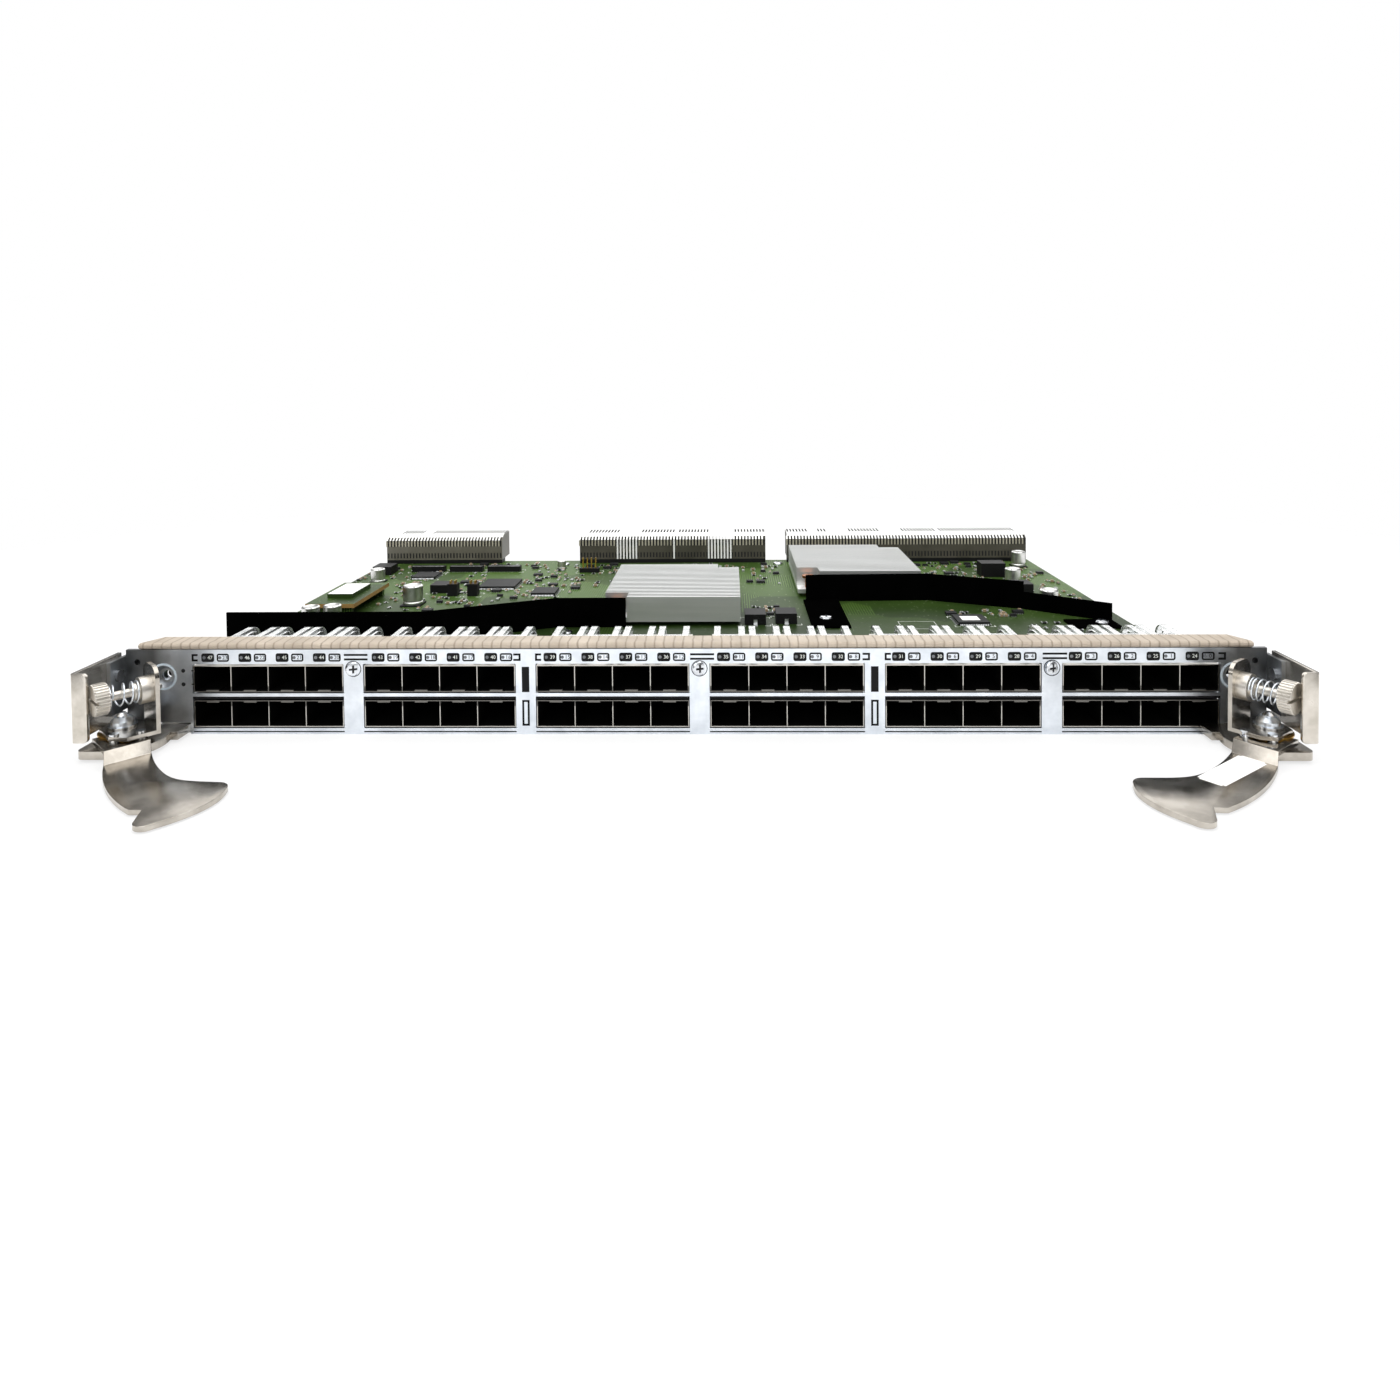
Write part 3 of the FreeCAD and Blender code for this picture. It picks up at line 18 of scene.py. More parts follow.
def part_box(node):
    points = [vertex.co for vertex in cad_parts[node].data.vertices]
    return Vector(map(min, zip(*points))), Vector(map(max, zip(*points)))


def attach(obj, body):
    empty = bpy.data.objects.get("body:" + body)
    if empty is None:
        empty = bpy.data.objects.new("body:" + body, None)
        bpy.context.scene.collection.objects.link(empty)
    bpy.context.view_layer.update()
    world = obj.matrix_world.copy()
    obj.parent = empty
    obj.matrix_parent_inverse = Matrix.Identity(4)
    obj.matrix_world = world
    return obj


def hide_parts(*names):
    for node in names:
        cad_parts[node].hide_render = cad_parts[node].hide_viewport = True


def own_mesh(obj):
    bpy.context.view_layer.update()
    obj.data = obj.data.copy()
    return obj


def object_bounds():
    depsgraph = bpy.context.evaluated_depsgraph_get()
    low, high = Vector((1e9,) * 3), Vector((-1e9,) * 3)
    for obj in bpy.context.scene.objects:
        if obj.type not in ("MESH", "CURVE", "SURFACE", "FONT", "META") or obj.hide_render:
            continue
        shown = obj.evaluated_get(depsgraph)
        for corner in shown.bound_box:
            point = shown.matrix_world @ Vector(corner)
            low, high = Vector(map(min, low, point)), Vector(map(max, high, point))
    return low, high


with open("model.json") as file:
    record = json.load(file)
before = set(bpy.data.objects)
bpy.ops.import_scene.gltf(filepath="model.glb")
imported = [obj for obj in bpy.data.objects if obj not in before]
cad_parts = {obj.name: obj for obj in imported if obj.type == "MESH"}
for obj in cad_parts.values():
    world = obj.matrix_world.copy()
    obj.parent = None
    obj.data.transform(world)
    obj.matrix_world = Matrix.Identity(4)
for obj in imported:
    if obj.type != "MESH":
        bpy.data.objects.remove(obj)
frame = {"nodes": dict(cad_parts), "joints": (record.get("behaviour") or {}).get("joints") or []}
cad_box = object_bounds()
nodes = frame["nodes"]
MM = 0.001

# %% [markdown]
# ## Helpers
# Colours are written as a colour picker shows them, and one function turns them to the linear
# values that shaders use. Another adds any node, with its settings and its links.

# %% Colour and node helpers
def linear(hex_colour, alpha=1.0):
    """An sRGB hex colour as linear red, green, blue and alpha."""
    values = [int(hex_colour[i:i + 2], 16) / 255 for i in (1, 3, 5)]
    turned = [v / 12.92 if v <= 0.04045 else ((v + 0.055) / 1.055) ** 2.4 for v in values]
    return (*turned, alpha)


def add(tree, kind, inputs=None, **settings):
    """Add one node. A node's output given as an input is linked, anything else is set."""
    made = tree.nodes.new(kind)
    for name, value in settings.items():
        setattr(made, name, value)
    for name, value in (inputs or {}).items():
        if isinstance(value, bpy.types.NodeSocket):
            tree.links.new(value, made.inputs[name])
        else:
            made.inputs[name].default_value = value
    return made


def new_material(name, **principled):
    """A material with one Principled shader whose sockets are set by name."""
    material = bpy.data.materials.new(name)
    material.use_nodes = True
    shader = material.node_tree.nodes["Principled BSDF"]
    for socket, value in principled.items():
        shader.inputs[socket.replace("_", " ")].default_value = value
    return material, material.node_tree, shader


def place_of(tree, scale=(1, 1, 1)):
    """Object coordinates in metres, scaled by a Mapping node."""
    where = add(tree, "ShaderNodeTexCoord").outputs["Object"]
    return add(tree, "ShaderNodeMapping", {"Vector": where, "Scale": scale}).outputs["Vector"]


def ramp_between(tree, factor, low, high, start=0.0, end=1.0):
    """A colour that goes from low to high as the factor goes from start to end."""
    ramp = add(tree, "ShaderNodeValToRGB", {"Fac": factor})
    ramp.color_ramp.elements[0].position, ramp.color_ramp.elements[1].position = start, end
    ramp.color_ramp.elements[0].color, ramp.color_ramp.elements[1].color = low, high
    return ramp.outputs["Color"]


def remap(tree, value, low, high, to_low=0.0, to_high=1.0):
    """A number that goes from to_low to to_high as the value goes from low to high."""
    return add(tree, "ShaderNodeMapRange", {"Value": value, "From Min": low, "From Max": high,
                                            "To Min": to_low, "To Max": to_high}).outputs["Result"]


def maths(tree, operation, first, second=0.0):
    return add(tree, "ShaderNodeMath", {0: first, 1: second}, operation=operation).outputs[0]


def blend(tree, factor, first, second):
    """The first colour at factor 0 and the second at 1."""
    return add(tree, "ShaderNodeMix", {"Factor": factor, 6: first, 7: second},
               data_type="RGBA").outputs[2]


def axes(tree, vector):
    return add(tree, "ShaderNodeSeparateXYZ", {"Vector": vector}).outputs


def texture(tree, kind, where, scale, inputs=None, **settings):
    return add(tree, "ShaderNodeTex" + kind, {"Vector": where, "Scale": scale, **(inputs or {})},
               **settings).outputs


def band_scale(period_mm):
    """The Wave texture's scale that gives bands with this spacing, in millimetres."""
    return 2 * math.pi / (20 * period_mm * MM)


def add_bump(tree, shader, height, distance, strength):
    bump = add(tree, "ShaderNodeBump", {"Height": height, "Distance": distance,
                                        "Strength": strength})
    tree.links.new(bump.outputs["Normal"], shader.inputs["Normal"])


# %% [markdown]
# ## Floor, light and camera
# The card lies on a plain white sweep under large soft lamps. The camera stands a little above
# the card and close in front of it, so that the board behind the panel narrows quickly. The
# lens is shifted, as a view camera is, to keep the upright edges upright.

# %% Camera
scene = bpy.context.scene
lens = bpy.data.cameras.new("camera")
camera = bpy.data.objects.new("camera", lens)
scene.collection.objects.link(camera)
scene.camera = camera
yaw, pitch, roll = 0.0245, -0.0312, -0.0092
aim = Matrix.Rotation(yaw, 4, "Z") @ Matrix.Rotation(math.pi / 2 + pitch, 4, "X")
camera.matrix_world = (Matrix.Translation(Vector((15.96, -344.39, 134.07)) * MM) @ aim
                       @ Matrix.Rotation(roll, 4, "Z"))
lens.sensor_width, lens.lens = 36.0, 23.90142857
lens.shift_x, lens.shift_y = -0.0041, -0.2104
lens.clip_start = 0.01
print("lens:", round(lens.lens, 2), "mm")

# %% Floor and light
world = bpy.data.worlds.new("studio")
scene.world = world
world.use_nodes = True
sky = world.node_tree
background = sky.nodes["Background"]
background.inputs["Color"].default_value = (1, 1, 1, 1)
rays = add(sky, "ShaderNodeLightPath").outputs
seen = maths(sky, "MAXIMUM", rays["Is Camera Ray"], rays["Is Transmission Ray"])
way = axes(sky, add(sky, "ShaderNodeTexCoord").outputs["Generated"])
walls = remap(sky, maths(sky, "ABSOLUTE", way["X"]), 0.3, 0.7, 0.85, 0.04)
ceiling = remap(sky, way["Z"], 0.35, 0.8, 0.0, 0.8)
room = maths(sky, "MAXIMUM", walls, ceiling)
strength = add(sky, "ShaderNodeMix", {"Factor": seen, 2: room, 3: 1.0})
sky.links.new(strength.outputs[0], background.inputs["Strength"])

floor_material, tree, shader = new_material("white paper sweep", Roughness=0.9)
shader.inputs["Base Color"].default_value = linear("#F2F2F2")
glow = add(tree, "ShaderNodeEmission", {"Color": (1, 1, 1, 1), "Strength": 1.0})
share = maths(tree, "MULTIPLY", add(tree, "ShaderNodeLightPath").outputs["Is Camera Ray"], 0.72)
mixed = add(tree, "ShaderNodeMixShader", {0: share, 1: shader.outputs["BSDF"],
                                          2: glow.outputs["Emission"]})
reach = add(tree, "ShaderNodeVectorMath", {0: place_of(tree)}, operation="LENGTH")
nothing = add(tree, "ShaderNodeBsdfTransparent")
edge = add(tree, "ShaderNodeMixShader", {0: remap(tree, reach.outputs["Value"], 0.35, 0.7),
                                         1: mixed.outputs["Shader"], 2: nothing.outputs["BSDF"]})
tree.links.new(edge.outputs["Shader"], tree.nodes["Material Output"].inputs["Surface"])

mesh = bpy.data.meshes.new("floor")
lowest = cad_box[0].z
mesh.from_pydata([(-6, -4, lowest), (6, -4, lowest), (6, 8, lowest), (-6, 8, lowest)], [],
                 [(0, 1, 2, 3)])
floor = bpy.data.objects.new("floor", mesh)
floor.data.materials.append(floor_material)
scene.collection.objects.link(floor)

for name, place, turn, size, power in (
        ("overhead", (0.0, 0.1, 1.1), (0, 0, 0), (1.6, 1.2), 11.0),
        ("front", (-0.2, -1.3, 0.9), (58, 0, -8), (1.6, 0.8), 10.0),
        ("rear", (0.0, 1.5, 0.75), (-66, 0, 0), (2.2, 0.9), 6.0),
        ("left", (-1.2, -0.3, 0.5), (70, 0, -75), (0.5, 0.3), 1.2),
        ("right", (1.2, -0.2, 0.5), (70, 0, 78), (0.5, 0.3), 1.2)):
    lamp = bpy.data.lights.new(name, "AREA")
    lamp.shape, lamp.size, lamp.size_y, lamp.energy = "RECTANGLE", *size, power
    holder = bpy.data.objects.new(name, lamp)
    holder.location = place
    holder.rotation_euler = [math.radians(a) for a in turn]
    scene.collection.objects.link(holder)

scene.view_settings.view_transform = "Standard"

# %% [markdown]
# ## Metals
# The panel and tray are zinc-plated sheet steel: a cool, slightly blue grey whose spangle shows
# as soft patches. The levers, guards and brackets are nickel-plated, which is warmer and
# smoother, with fine tumbling marks. Both are made as metal with a little noise in the
# roughness, because that is what breaks up a reflection on real plated sheet.

# %% Plated steel
def guard_corner_shade(tree):
    """How far a point lies in the corner behind a guard, from 0 to 0.75: the strength of the
    painted shade there.
    """
    at = axes(tree, place_of(tree))
    end = remap(tree, maths(tree, "ABSOLUTE", at["X"]), 196 * MM, 203 * MM, 0.0, 0.75)
    return maths(tree, "MULTIPLY", end, remap(tree, at["Y"], -14 * MM, -3 * MM))


def plated_steel(name, dark, light, rough, spot_mm, bump_mm=0.02, brush=(1, 1, 1),
                 shaded=True, metallic=1.0):
    """A metal whose colour and roughness vary in soft spots of a size given in millimetres."""
    material, tree, shader = new_material(name, Metallic=metallic)
    where = place_of(tree, brush)
    patch = texture(tree, "Noise", where, 1000 / spot_mm, {"Detail": 3.0, "Roughness": 0.6})["Fac"]
    fine = texture(tree, "Noise", where, 4200 / spot_mm, {"Detail": 2.0})["Fac"]
    tone = ramp_between(tree, patch, linear(dark), linear(light), 0.35, 0.65)
    # Painted shade: in the corner behind each guard the colour darkens towards #3E3C38.
    colour = blend(tree, guard_corner_shade(tree) if shaded else 0.0, tone, linear("#3E3C38"))
    tree.links.new(colour, shader.inputs["Base Color"])
    tree.links.new(remap(tree, patch, 0, 1, rough - 0.06, rough + 0.08),
                   shader.inputs["Roughness"])
    add_bump(tree, shader, fine, bump_mm * MM, 0.25)
    return material


zinc = plated_steel("zinc plated steel", "#D3D9E0", "#E9EEF4", 0.36, 9.0)
tray_steel = plated_steel("tray steel", "#A9ABAA", "#BFC1C0", 0.42, 12.0)
nickel = plated_steel("nickel plated steel", "#A29C93", "#BDB7AE", 0.2, 7.0)
# The guards get a brighter copy of the same nickel. The extra brightness is painted light on the
# guards.
lit_guard_nickel = plated_steel("nickel plated guard", "#B9B3A9", "#D6D0C7", 0.24, 7.0)
knob_nickel = plated_steel("nickel plated knob", "#C6C1B8", "#DCD7CF", 0.34, 5.0, shaded=False)
# A painted highlight: the flat ring round each nut is pale and bright, standing for the shine of
# the pressed bevel.
pressed_rim_highlight = plated_steel("pressed rim", "#CFE0EE", "#E9F4FB", 0.4, 3.0, shaded=False,
                         metallic=0.35)
nut_steel = plated_steel("bright nut", "#D5DCE4", "#EDF2F7", 0.3, 3.0, shaded=False)
bright_steel = plated_steel("bright screw steel", "#C8CBD0", "#E2E5E9", 0.2, 3.0)
brushed = plated_steel("machined aluminium", "#F7F8F8", "#FEFEFE", 0.4, 2.2, 0.01, (0.04, 1, 1),
                       metallic=0.45)
# Heat sink faces that look up are made less metallic. Faces that do not look up are tinted green,
# which is a painted reflection of the board.
tree = brushed.node_tree
shader = tree.nodes["Principled BSDF"]
upward = axes(tree, add(tree, "ShaderNodeNewGeometry").outputs["Normal"])["Z"]
tree.links.new(remap(tree, upward, 0.3, 0.8, 1.0, 0.5), shader.inputs["Metallic"])
pale = shader.inputs["Base Color"].links[0].from_socket
tree.links.new(blend(tree, remap(tree, upward, 0.3, 0.8, 0.3, 0.0), pale, linear("#5C6B50")),
               shader.inputs["Base Color"])
brass = plated_steel("yellow brass", "#B98E3C", "#D0A653", 0.3, 4.0)
copper = plated_steel("copper plated pin", "#B5683C", "#D08A5C", 0.25, 3.0)
gold = plated_steel("gold plated contact", "#C79A3E", "#E0B860", 0.25, 2.0)
tin = plated_steel("tinned lead", "#B9BBBB", "#D5D7D8", 0.32, 2.0)

# %% [markdown]
# The port cages are thin tinned sheet. Outside they are bright, but inside a deep, narrow cage
# hardly any light comes back. The inner faces are therefore painted dark, as painted shade, and
# made rough. The lips next to the rail between the two rows are painted darker too, also as
# painted shade, and the cut edge at the mouth stays bright. The faces are told apart by their
# place alone.

# %% Cage sheet
def cage_sheet():
    material, tree, shader = new_material("tinned cage sheet", Metallic=1.0)
    low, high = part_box("port_cages_1")
    at = axes(tree, place_of(tree))
    outside = maths(tree, "GREATER_THAN", at["Z"], high.z - 0.1 * MM)
    mouth = maths(tree, "LESS_THAN", at["Y"], low.y + 0.35 * MM)
    rear = maths(tree, "GREATER_THAN", at["Y"], high.y - 0.1 * MM)
    edges = maths(tree, "MAXIMUM", maths(tree, "MAXIMUM", outside, mouth), rear)
    lip = maths(tree, "ABSOLUTE", maths(tree, "SUBTRACT", at["Z"], (low.z + high.z) / 2))
    # Painted shade: inner faces take the dark colour, and edges near the middle rail get only 0.3
    # of the bright colour.
    bright = maths(tree, "MULTIPLY", edges, remap(tree, lip, 3.6 * MM, 4.0 * MM, 0.3, 1.0))
    tree.links.new(ramp_between(tree, bright, linear("#1C1B1A"), linear("#C4C1BA")),
                   shader.inputs["Base Color"])
    tree.links.new(remap(tree, bright, 0, 1, 0.62, 0.28), shader.inputs["Roughness"])
    return material


cage_metal = cage_sheet()

# %% [markdown]
# ## Plastics, board and fabric
# The board's solder mask is a deep green lacquer over copper. Tracks run under it as paler
# lines in long parallel groups, and small round pads are scattered between them. A wave
# texture drawn out along the board makes the tracks, and a Voronoi texture makes the pads.

# %% Solder mask
def solder_mask():
    material, tree, shader = new_material("green solder mask", Roughness=0.42, IOR=1.5,
                                          Specular_IOR_Level=0.1)
    where = place_of(tree)
    lines = texture(tree, "Wave", where, band_scale(1.27), bands_direction="X")["Fac"]
    across = texture(tree, "Wave", where, band_scale(1.5), bands_direction="Y")["Fac"]
    area = texture(tree, "Voronoi", where, 26.0, {"Randomness": 0.9}, distance="CHEBYCHEV")
    pick = add(tree, "ShaderNodeSeparateColor", {"Color": area["Color"]}).outputs
    tracks = add(tree, "ShaderNodeMix", {"Factor": maths(tree, "GREATER_THAN", pick["Red"], 0.5),
                                         2: lines, 3: across})
    some = maths(tree, "GREATER_THAN", pick["Green"], 0.35)
    shown = maths(tree, "MULTIPLY", remap(tree, tracks.outputs[0], 0.72, 0.86), some)
    cloud = texture(tree, "Noise", where, 18.0, {"Detail": 3.0})["Fac"]
    base = ramp_between(tree, cloud, linear("#2C4117"), linear("#3C5422"), 0.3, 0.7)
    pads = texture(tree, "Voronoi", where, 1000 / 2.9)["Distance"]
    dot = maths(tree, "LESS_THAN", pads, 0.13)
    colour = blend(tree, dot, blend(tree, shown, base, linear("#62823C")), linear("#8D9A78"))
    # Painted shade: the green darkens towards the panel, where the heat sinks and the panel shade
    # the board.
    panel_shade = remap(tree, axes(tree, where)["Y"], 95 * MM, 165 * MM, 0.62, 0.0)
    tree.links.new(blend(tree, panel_shade, colour, linear("#0D150A")), shader.inputs["Base Color"])
    add_bump(tree, shader, shown, 0.03 * MM, 0.3)
    return material


def moulded(name, dark, light, rough, grain_mm=0.5, **more):
    """A moulded plastic with a faint grain and a slight change of tone."""
    material, tree, shader = new_material(name, IOR=1.5, **more)
    where = place_of(tree)
    tone = texture(tree, "Noise", where, 60.0, {"Detail": 3.0})["Fac"]
    grain = texture(tree, "Noise", where, 1000 / grain_mm)["Fac"]
    tree.links.new(ramp_between(tree, tone, linear(dark), linear(light), 0.3, 0.7),
                   shader.inputs["Base Color"])
    tree.links.new(remap(tree, tone, 0, 1, rough - 0.05, rough + 0.06),
                   shader.inputs["Roughness"])
    add_bump(tree, shader, grain, 0.02 * MM, 0.25)
    return material


green = solder_mask()
black = moulded("black moulded plastic", "#09090A", "#101011", 0.5, Specular_IOR_Level=0.2)
baffle_black = moulded("black polycarbonate sheet", "#020202", "#040404", 0.6, 1.2,
                       Specular_IOR_Level=0.0)
chip_black = moulded("epoxy chip body", "#141516", "#1E1F20", 0.55, 0.3,
                     Specular_IOR_Level=0.25)
wafer_edge = moulded("pale wafer edge", "#8F8A78", "#B0AB99", 0.5, 0.4)
shell_grey = moulded("connector shell", "#4F4C40", "#6B685C", 0.42, 0.6)
shell_dark = moulded("dark connector shell", "#3B392F", "#4F4C42", 0.5, 0.6,
                     Specular_IOR_Level=0.3)
white_paper = moulded("white label stock", "#EFEFEC", "#F8F8F6", 0.6, 0.2)
white_ink = moulded("white board legend", "#D9DDD6", "#EAEDE7", 0.6)
# Black ink for the panel print, and also painted shadow: the dark lines under the windows and
# round the panel screws.
ink_and_painted_shadow = moulded("black panel ink and painted shadow", "#060607", "#0B0B0C", 0.6, Specular_IOR_Level=0.2)
tan_ceramic = moulded("tan ceramic", "#7D6A52", "#9A866B", 0.5, 0.3)
edge_board = moulded("bare board edge", "#8A6A35", "#A27F45", 0.6, 0.4)
can_metal = plated_steel("capacitor can", "#D5D5D2", "#E8E8E6", 0.3, 3.0)
# Painted shade in slots, recesses, bores and holes. The same material also gives the dark
# capacitor marks and status lamps.
shade_and_marks_dark = moulded("painted shade and dark marks", "#0B0B0C", "#141415", 0.7)
clear = moulded("clear acrylic light guide", "#F4F7F8", "#FDFEFE", 0.1, 0.8,
                Transmission_Weight=0.9)

# %% [markdown]
# The gasket along the panel's top edge is a foam strip wrapped in silvered cloth. It has aged to a
# warm grey brown. A fine weave covers it, and cross creases a few millimetres apart show where the
# strip has been pressed by the next card. The creases are also painted darker, as painted shade in
# the folds.

# %% Gasket cloth
def gasket_cloth():
    material, tree, shader = new_material("metallised gasket cloth", Metallic=0.25,
                                          Roughness=0.55)
    where = place_of(tree)
    warp, weft = [texture(tree, "Wave", where, band_scale(0.6), bands_direction=way)["Fac"]
                  for way in "XZ"]
    crease = texture(tree, "Wave", where, band_scale(3.6),
                     {"Distortion": 1.2, "Detail": 1.0, "Detail Scale": 2.0})["Fac"]
    thin = remap(tree, crease, 0.86, 1.0)
    cloud = texture(tree, "Noise", where, 90.0, {"Detail": 4.0})["Fac"]
    base = ramp_between(tree, cloud, linear("#AC9F8F"), linear("#C4B7A7"), 0.3, 0.7)
    # Painted shade: the creases darken the cloth's colour.
    tree.links.new(blend(tree, thin, base, linear("#978A7A")), shader.inputs["Base Color"])
    weave = maths(tree, "SUBTRACT", maths(tree, "ADD", warp, weft), thin)
    add_bump(tree, shader, weave, 0.12 * MM, 0.5)
    return material


cloth = gasket_cloth()

# %% Give every CAD node its finish
FINISHES = {
    "front_panel": zinc, "emi_gasket": cloth, "carrier_tray": tray_steel,
    "circuit_board": green, "port_cages": cage_metal, "host_connectors": black,
    "light_pipes": clear, "heat_sink_pins": copper, "heat_sink": brushed,
    "air_baffle": baffle_black, "backplane_connector": shell_dark,
    "backplane_connector_left": shell_grey, "connector_bases": black,
    "switch_chips": chip_black, "control_chips": chip_black, "power_parts": black,
    "board_headers": black, "power_module": green, "capacitors": can_metal,
    "brass_washer": brass, "guard_rivets": bright_steel, "guard": lit_guard_nickel,
    "latch_base_screws": bright_steel, "latch_base": nickel, "lever_rivets": bright_steel,
    "lever": nickel, "screw_bracket": nickel, "thumbscrew_spring": bright_steel,
    "thumbscrew": knob_nickel, "ferrule": knob_nickel, "pivot_nuts": nut_steel,
    "lock_nuts": nut_steel,
}
for name, item in nodes.items():
    start = max((key for key in FINISHES if name.startswith(key)), key=len, default="")
    item.data.materials.clear()
    item.data.materials.append(FINISHES.get(start, bright_steel))
print("finished nodes:", len(nodes))

# %% [markdown]
# ## Parts that repeat
# Screws, leads, pads and printed marks repeat by the dozen. One Geometry Nodes tree puts a
# small part on every point of a mesh, turned and sized by two attributes that the points
# carry. The tree ends with real geometry and one finish, and the result is kept as a plain mesh.

# %% The stamping tree
def stamping_tree():
    tree = bpy.data.node_groups.new("stamp a part on points", "GeometryNodeTree")
    sockets = tree.interface
    for name, kind in (("Geometry", "Geometry"), ("Part", "Object"), ("Finish", "Material")):
        sockets.new_socket(name, in_out="INPUT", socket_type="NodeSocket" + kind)
    sockets.new_socket("Geometry", in_out="OUTPUT", socket_type="NodeSocketGeometry")
    given = add(tree, "NodeGroupInput")
    part = add(tree, "GeometryNodeObjectInfo", {"Object": given.outputs["Part"],
                                                "As Instance": True})
    turn, size = [add(tree, "GeometryNodeInputNamedAttribute", {"Name": name},
                      data_type="FLOAT_VECTOR").outputs["Attribute"] for name in ("turn", "size")]
    euler = add(tree, "FunctionNodeEulerToRotation", {"Euler": turn})
    stamped = add(tree, "GeometryNodeInstanceOnPoints",
                  {"Points": given.outputs["Geometry"], "Instance": part.outputs["Geometry"],
                   "Rotation": euler.outputs["Rotation"], "Scale": size})
    real = add(tree, "GeometryNodeRealizeInstances", {"Geometry": stamped.outputs["Instances"]})
    coated = add(tree, "GeometryNodeSetMaterial", {"Geometry": real.outputs["Geometry"],
                                                   "Material": given.outputs["Finish"]})
    add(tree, "NodeGroupOutput", {"Geometry": coated.outputs["Geometry"]})
    return tree


stamping = stamping_tree()


def keep(name, mesh, material=None, body="card", stands_for=()):
    """Make a finished piece of a mesh whose points are already in place."""
    mesh.name = name
    piece = bpy.data.objects.new(name, mesh)
    if material:
        mesh.materials.clear()
        mesh.materials.append(material)
    scene.collection.objects.link(piece)
    if stands_for:
        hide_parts(*stands_for)
    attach(piece, body)
    return piece


def settled(item):
    """The mesh of an object with its modifiers applied. The object itself is removed."""
    bpy.context.view_layer.update()
    evaluated = item.evaluated_get(bpy.context.evaluated_depsgraph_get())
    mesh = bpy.data.meshes.new_from_object(evaluated)
    bpy.data.objects.remove(item)
    return mesh


def stamp(name, part, places, material, body="card", stands_for=()):
    """Stamp a part mesh at (place, turn in degrees, size) triples, with places in metres."""
    points = bpy.data.meshes.new(name + "_points")
    points.from_pydata([tuple(place) for place, _, _ in places], [], [])
    turns = points.attributes.new("turn", "FLOAT_VECTOR", "POINT")
    sizes = points.attributes.new("size", "FLOAT_VECTOR", "POINT")
    turns.data.foreach_set("vector", [math.radians(a) for _, turn, _ in places for a in turn])
    sizes.data.foreach_set("vector", [v for _, _, size in places for v in size])
    holder = bpy.data.objects.new(name + "_points", points)
    source = bpy.data.objects.new(name + "_part", part)
    scene.collection.objects.link(holder)
    scene.collection.objects.link(source)
    stamps = holder.modifiers.new("stamps", "NODES")
    stamps.node_group = stamping
    given = {item.name: item.identifier for item in stamping.interface.items_tree
             if item.in_out == "INPUT"}
    stamps[given["Part"]] = source
    stamps[given["Finish"]] = material
    mesh = settled(holder)
    bpy.data.objects.remove(source)
    return keep(name, mesh, None, body, stands_for)


# %% Small part shapes
def as_mesh(name, made):
    mesh = bpy.data.meshes.new(name)
    bmesh.ops.recalc_face_normals(made, faces=made.faces)
    made.to_mesh(mesh)
    made.free()
    return mesh


def block(name, length, depth, height, bevel=0.0):
    """A box in metres that stands on z = 0, with its edges eased."""
    made = bmesh.new()
    bmesh.ops.create_cube(made, size=1.0)
    bmesh.ops.transform(made, verts=made.verts,
                        matrix=Matrix.Diagonal((length, depth, height, 1)))
    bmesh.ops.translate(made, verts=made.verts, vec=(0, 0, height / 2))
    if bevel:
        bmesh.ops.bevel(made, geom=made.edges, offset=bevel, affect="EDGES")
    return as_mesh(name, made)


def turned_part(name, profile, steps=24):
    """A turned shape from (radius, height) pairs, in metres, closed at both poles."""
    made = bmesh.new()
    rings, angles = [], [2 * math.pi * i / steps for i in range(steps)]
    for radius, height in profile:
        if radius < 1e-7:
            rings.append([made.verts.new((0, 0, height))])
            continue
        rings.append([made.verts.new((radius * math.cos(a), radius * math.sin(a), height))
                      for a in angles])
    for low, high in zip(rings, rings[1:]):
        for i in range(steps):
            j = (i + 1) % steps
            around = [low[i % len(low)], low[j % len(low)], high[j % len(high)],
                      high[i % len(high)]]
            made.faces.new(list(dict.fromkeys(around)))
    return as_mesh(name, made)


def thicken(made, along):
    """Give a flat mesh a thickness along a vector."""
    skin = bmesh.ops.extrude_face_region(made, geom=made.faces[:])
    moved = [item for item in skin["geom"] if isinstance(item, bmesh.types.BMVert)]
    bmesh.ops.translate(made, verts=moved, vec=along)


def smooth(mesh, degrees):
    """Shade a mesh smoothly, except across edges sharper than the angle."""
    mesh.shade_smooth()
    mesh.set_sharp_from_angle(angle=math.radians(degrees))
    return mesh


def corners(points):
    """The lowest and the highest corner of a set of points."""
    return tuple(Vector([pick(p[i] for p in points) for i in range(3)]) for pick in (min, max))


def islands(node):
    """The corners of each separate solid of a CAD node."""
    made = bmesh.new()
    made.from_mesh(nodes[node].data)
    bmesh.ops.remove_doubles(made, verts=made.verts, dist=1e-6)
    left = set(made.verts)
    boxes = []
    while left:
        found = [left.pop()]
        for vert in found:
            for edge in vert.link_edges:
                other = edge.other_vert(vert)
                if other in left:
                    left.remove(other)
                    found.append(other)
        boxes.append(corners([v.co for v in found]))
    made.free()
    return sorted(boxes, key=lambda pair: (round(pair[0].x, 4), round(pair[0].y, 4)))


def centres(node):
    return [(low + high) / 2 for low, high in islands(node)]


UNIT = block("unit", 1, 1, 1)
NO_TURN, FACING, SAME = (0, 0, 0), (90, 0, 0), (1, 1, 1)


def bars(name, boxes, material):
    """Plain bars from (x, y, z, length, depth, height) in metres, for marks and leads."""
    return stamp(name, UNIT, [((x + l / 2, y + d / 2, z), NO_TURN, (l, d, h))
                              for x, y, z, l, d, h in boxes], material)


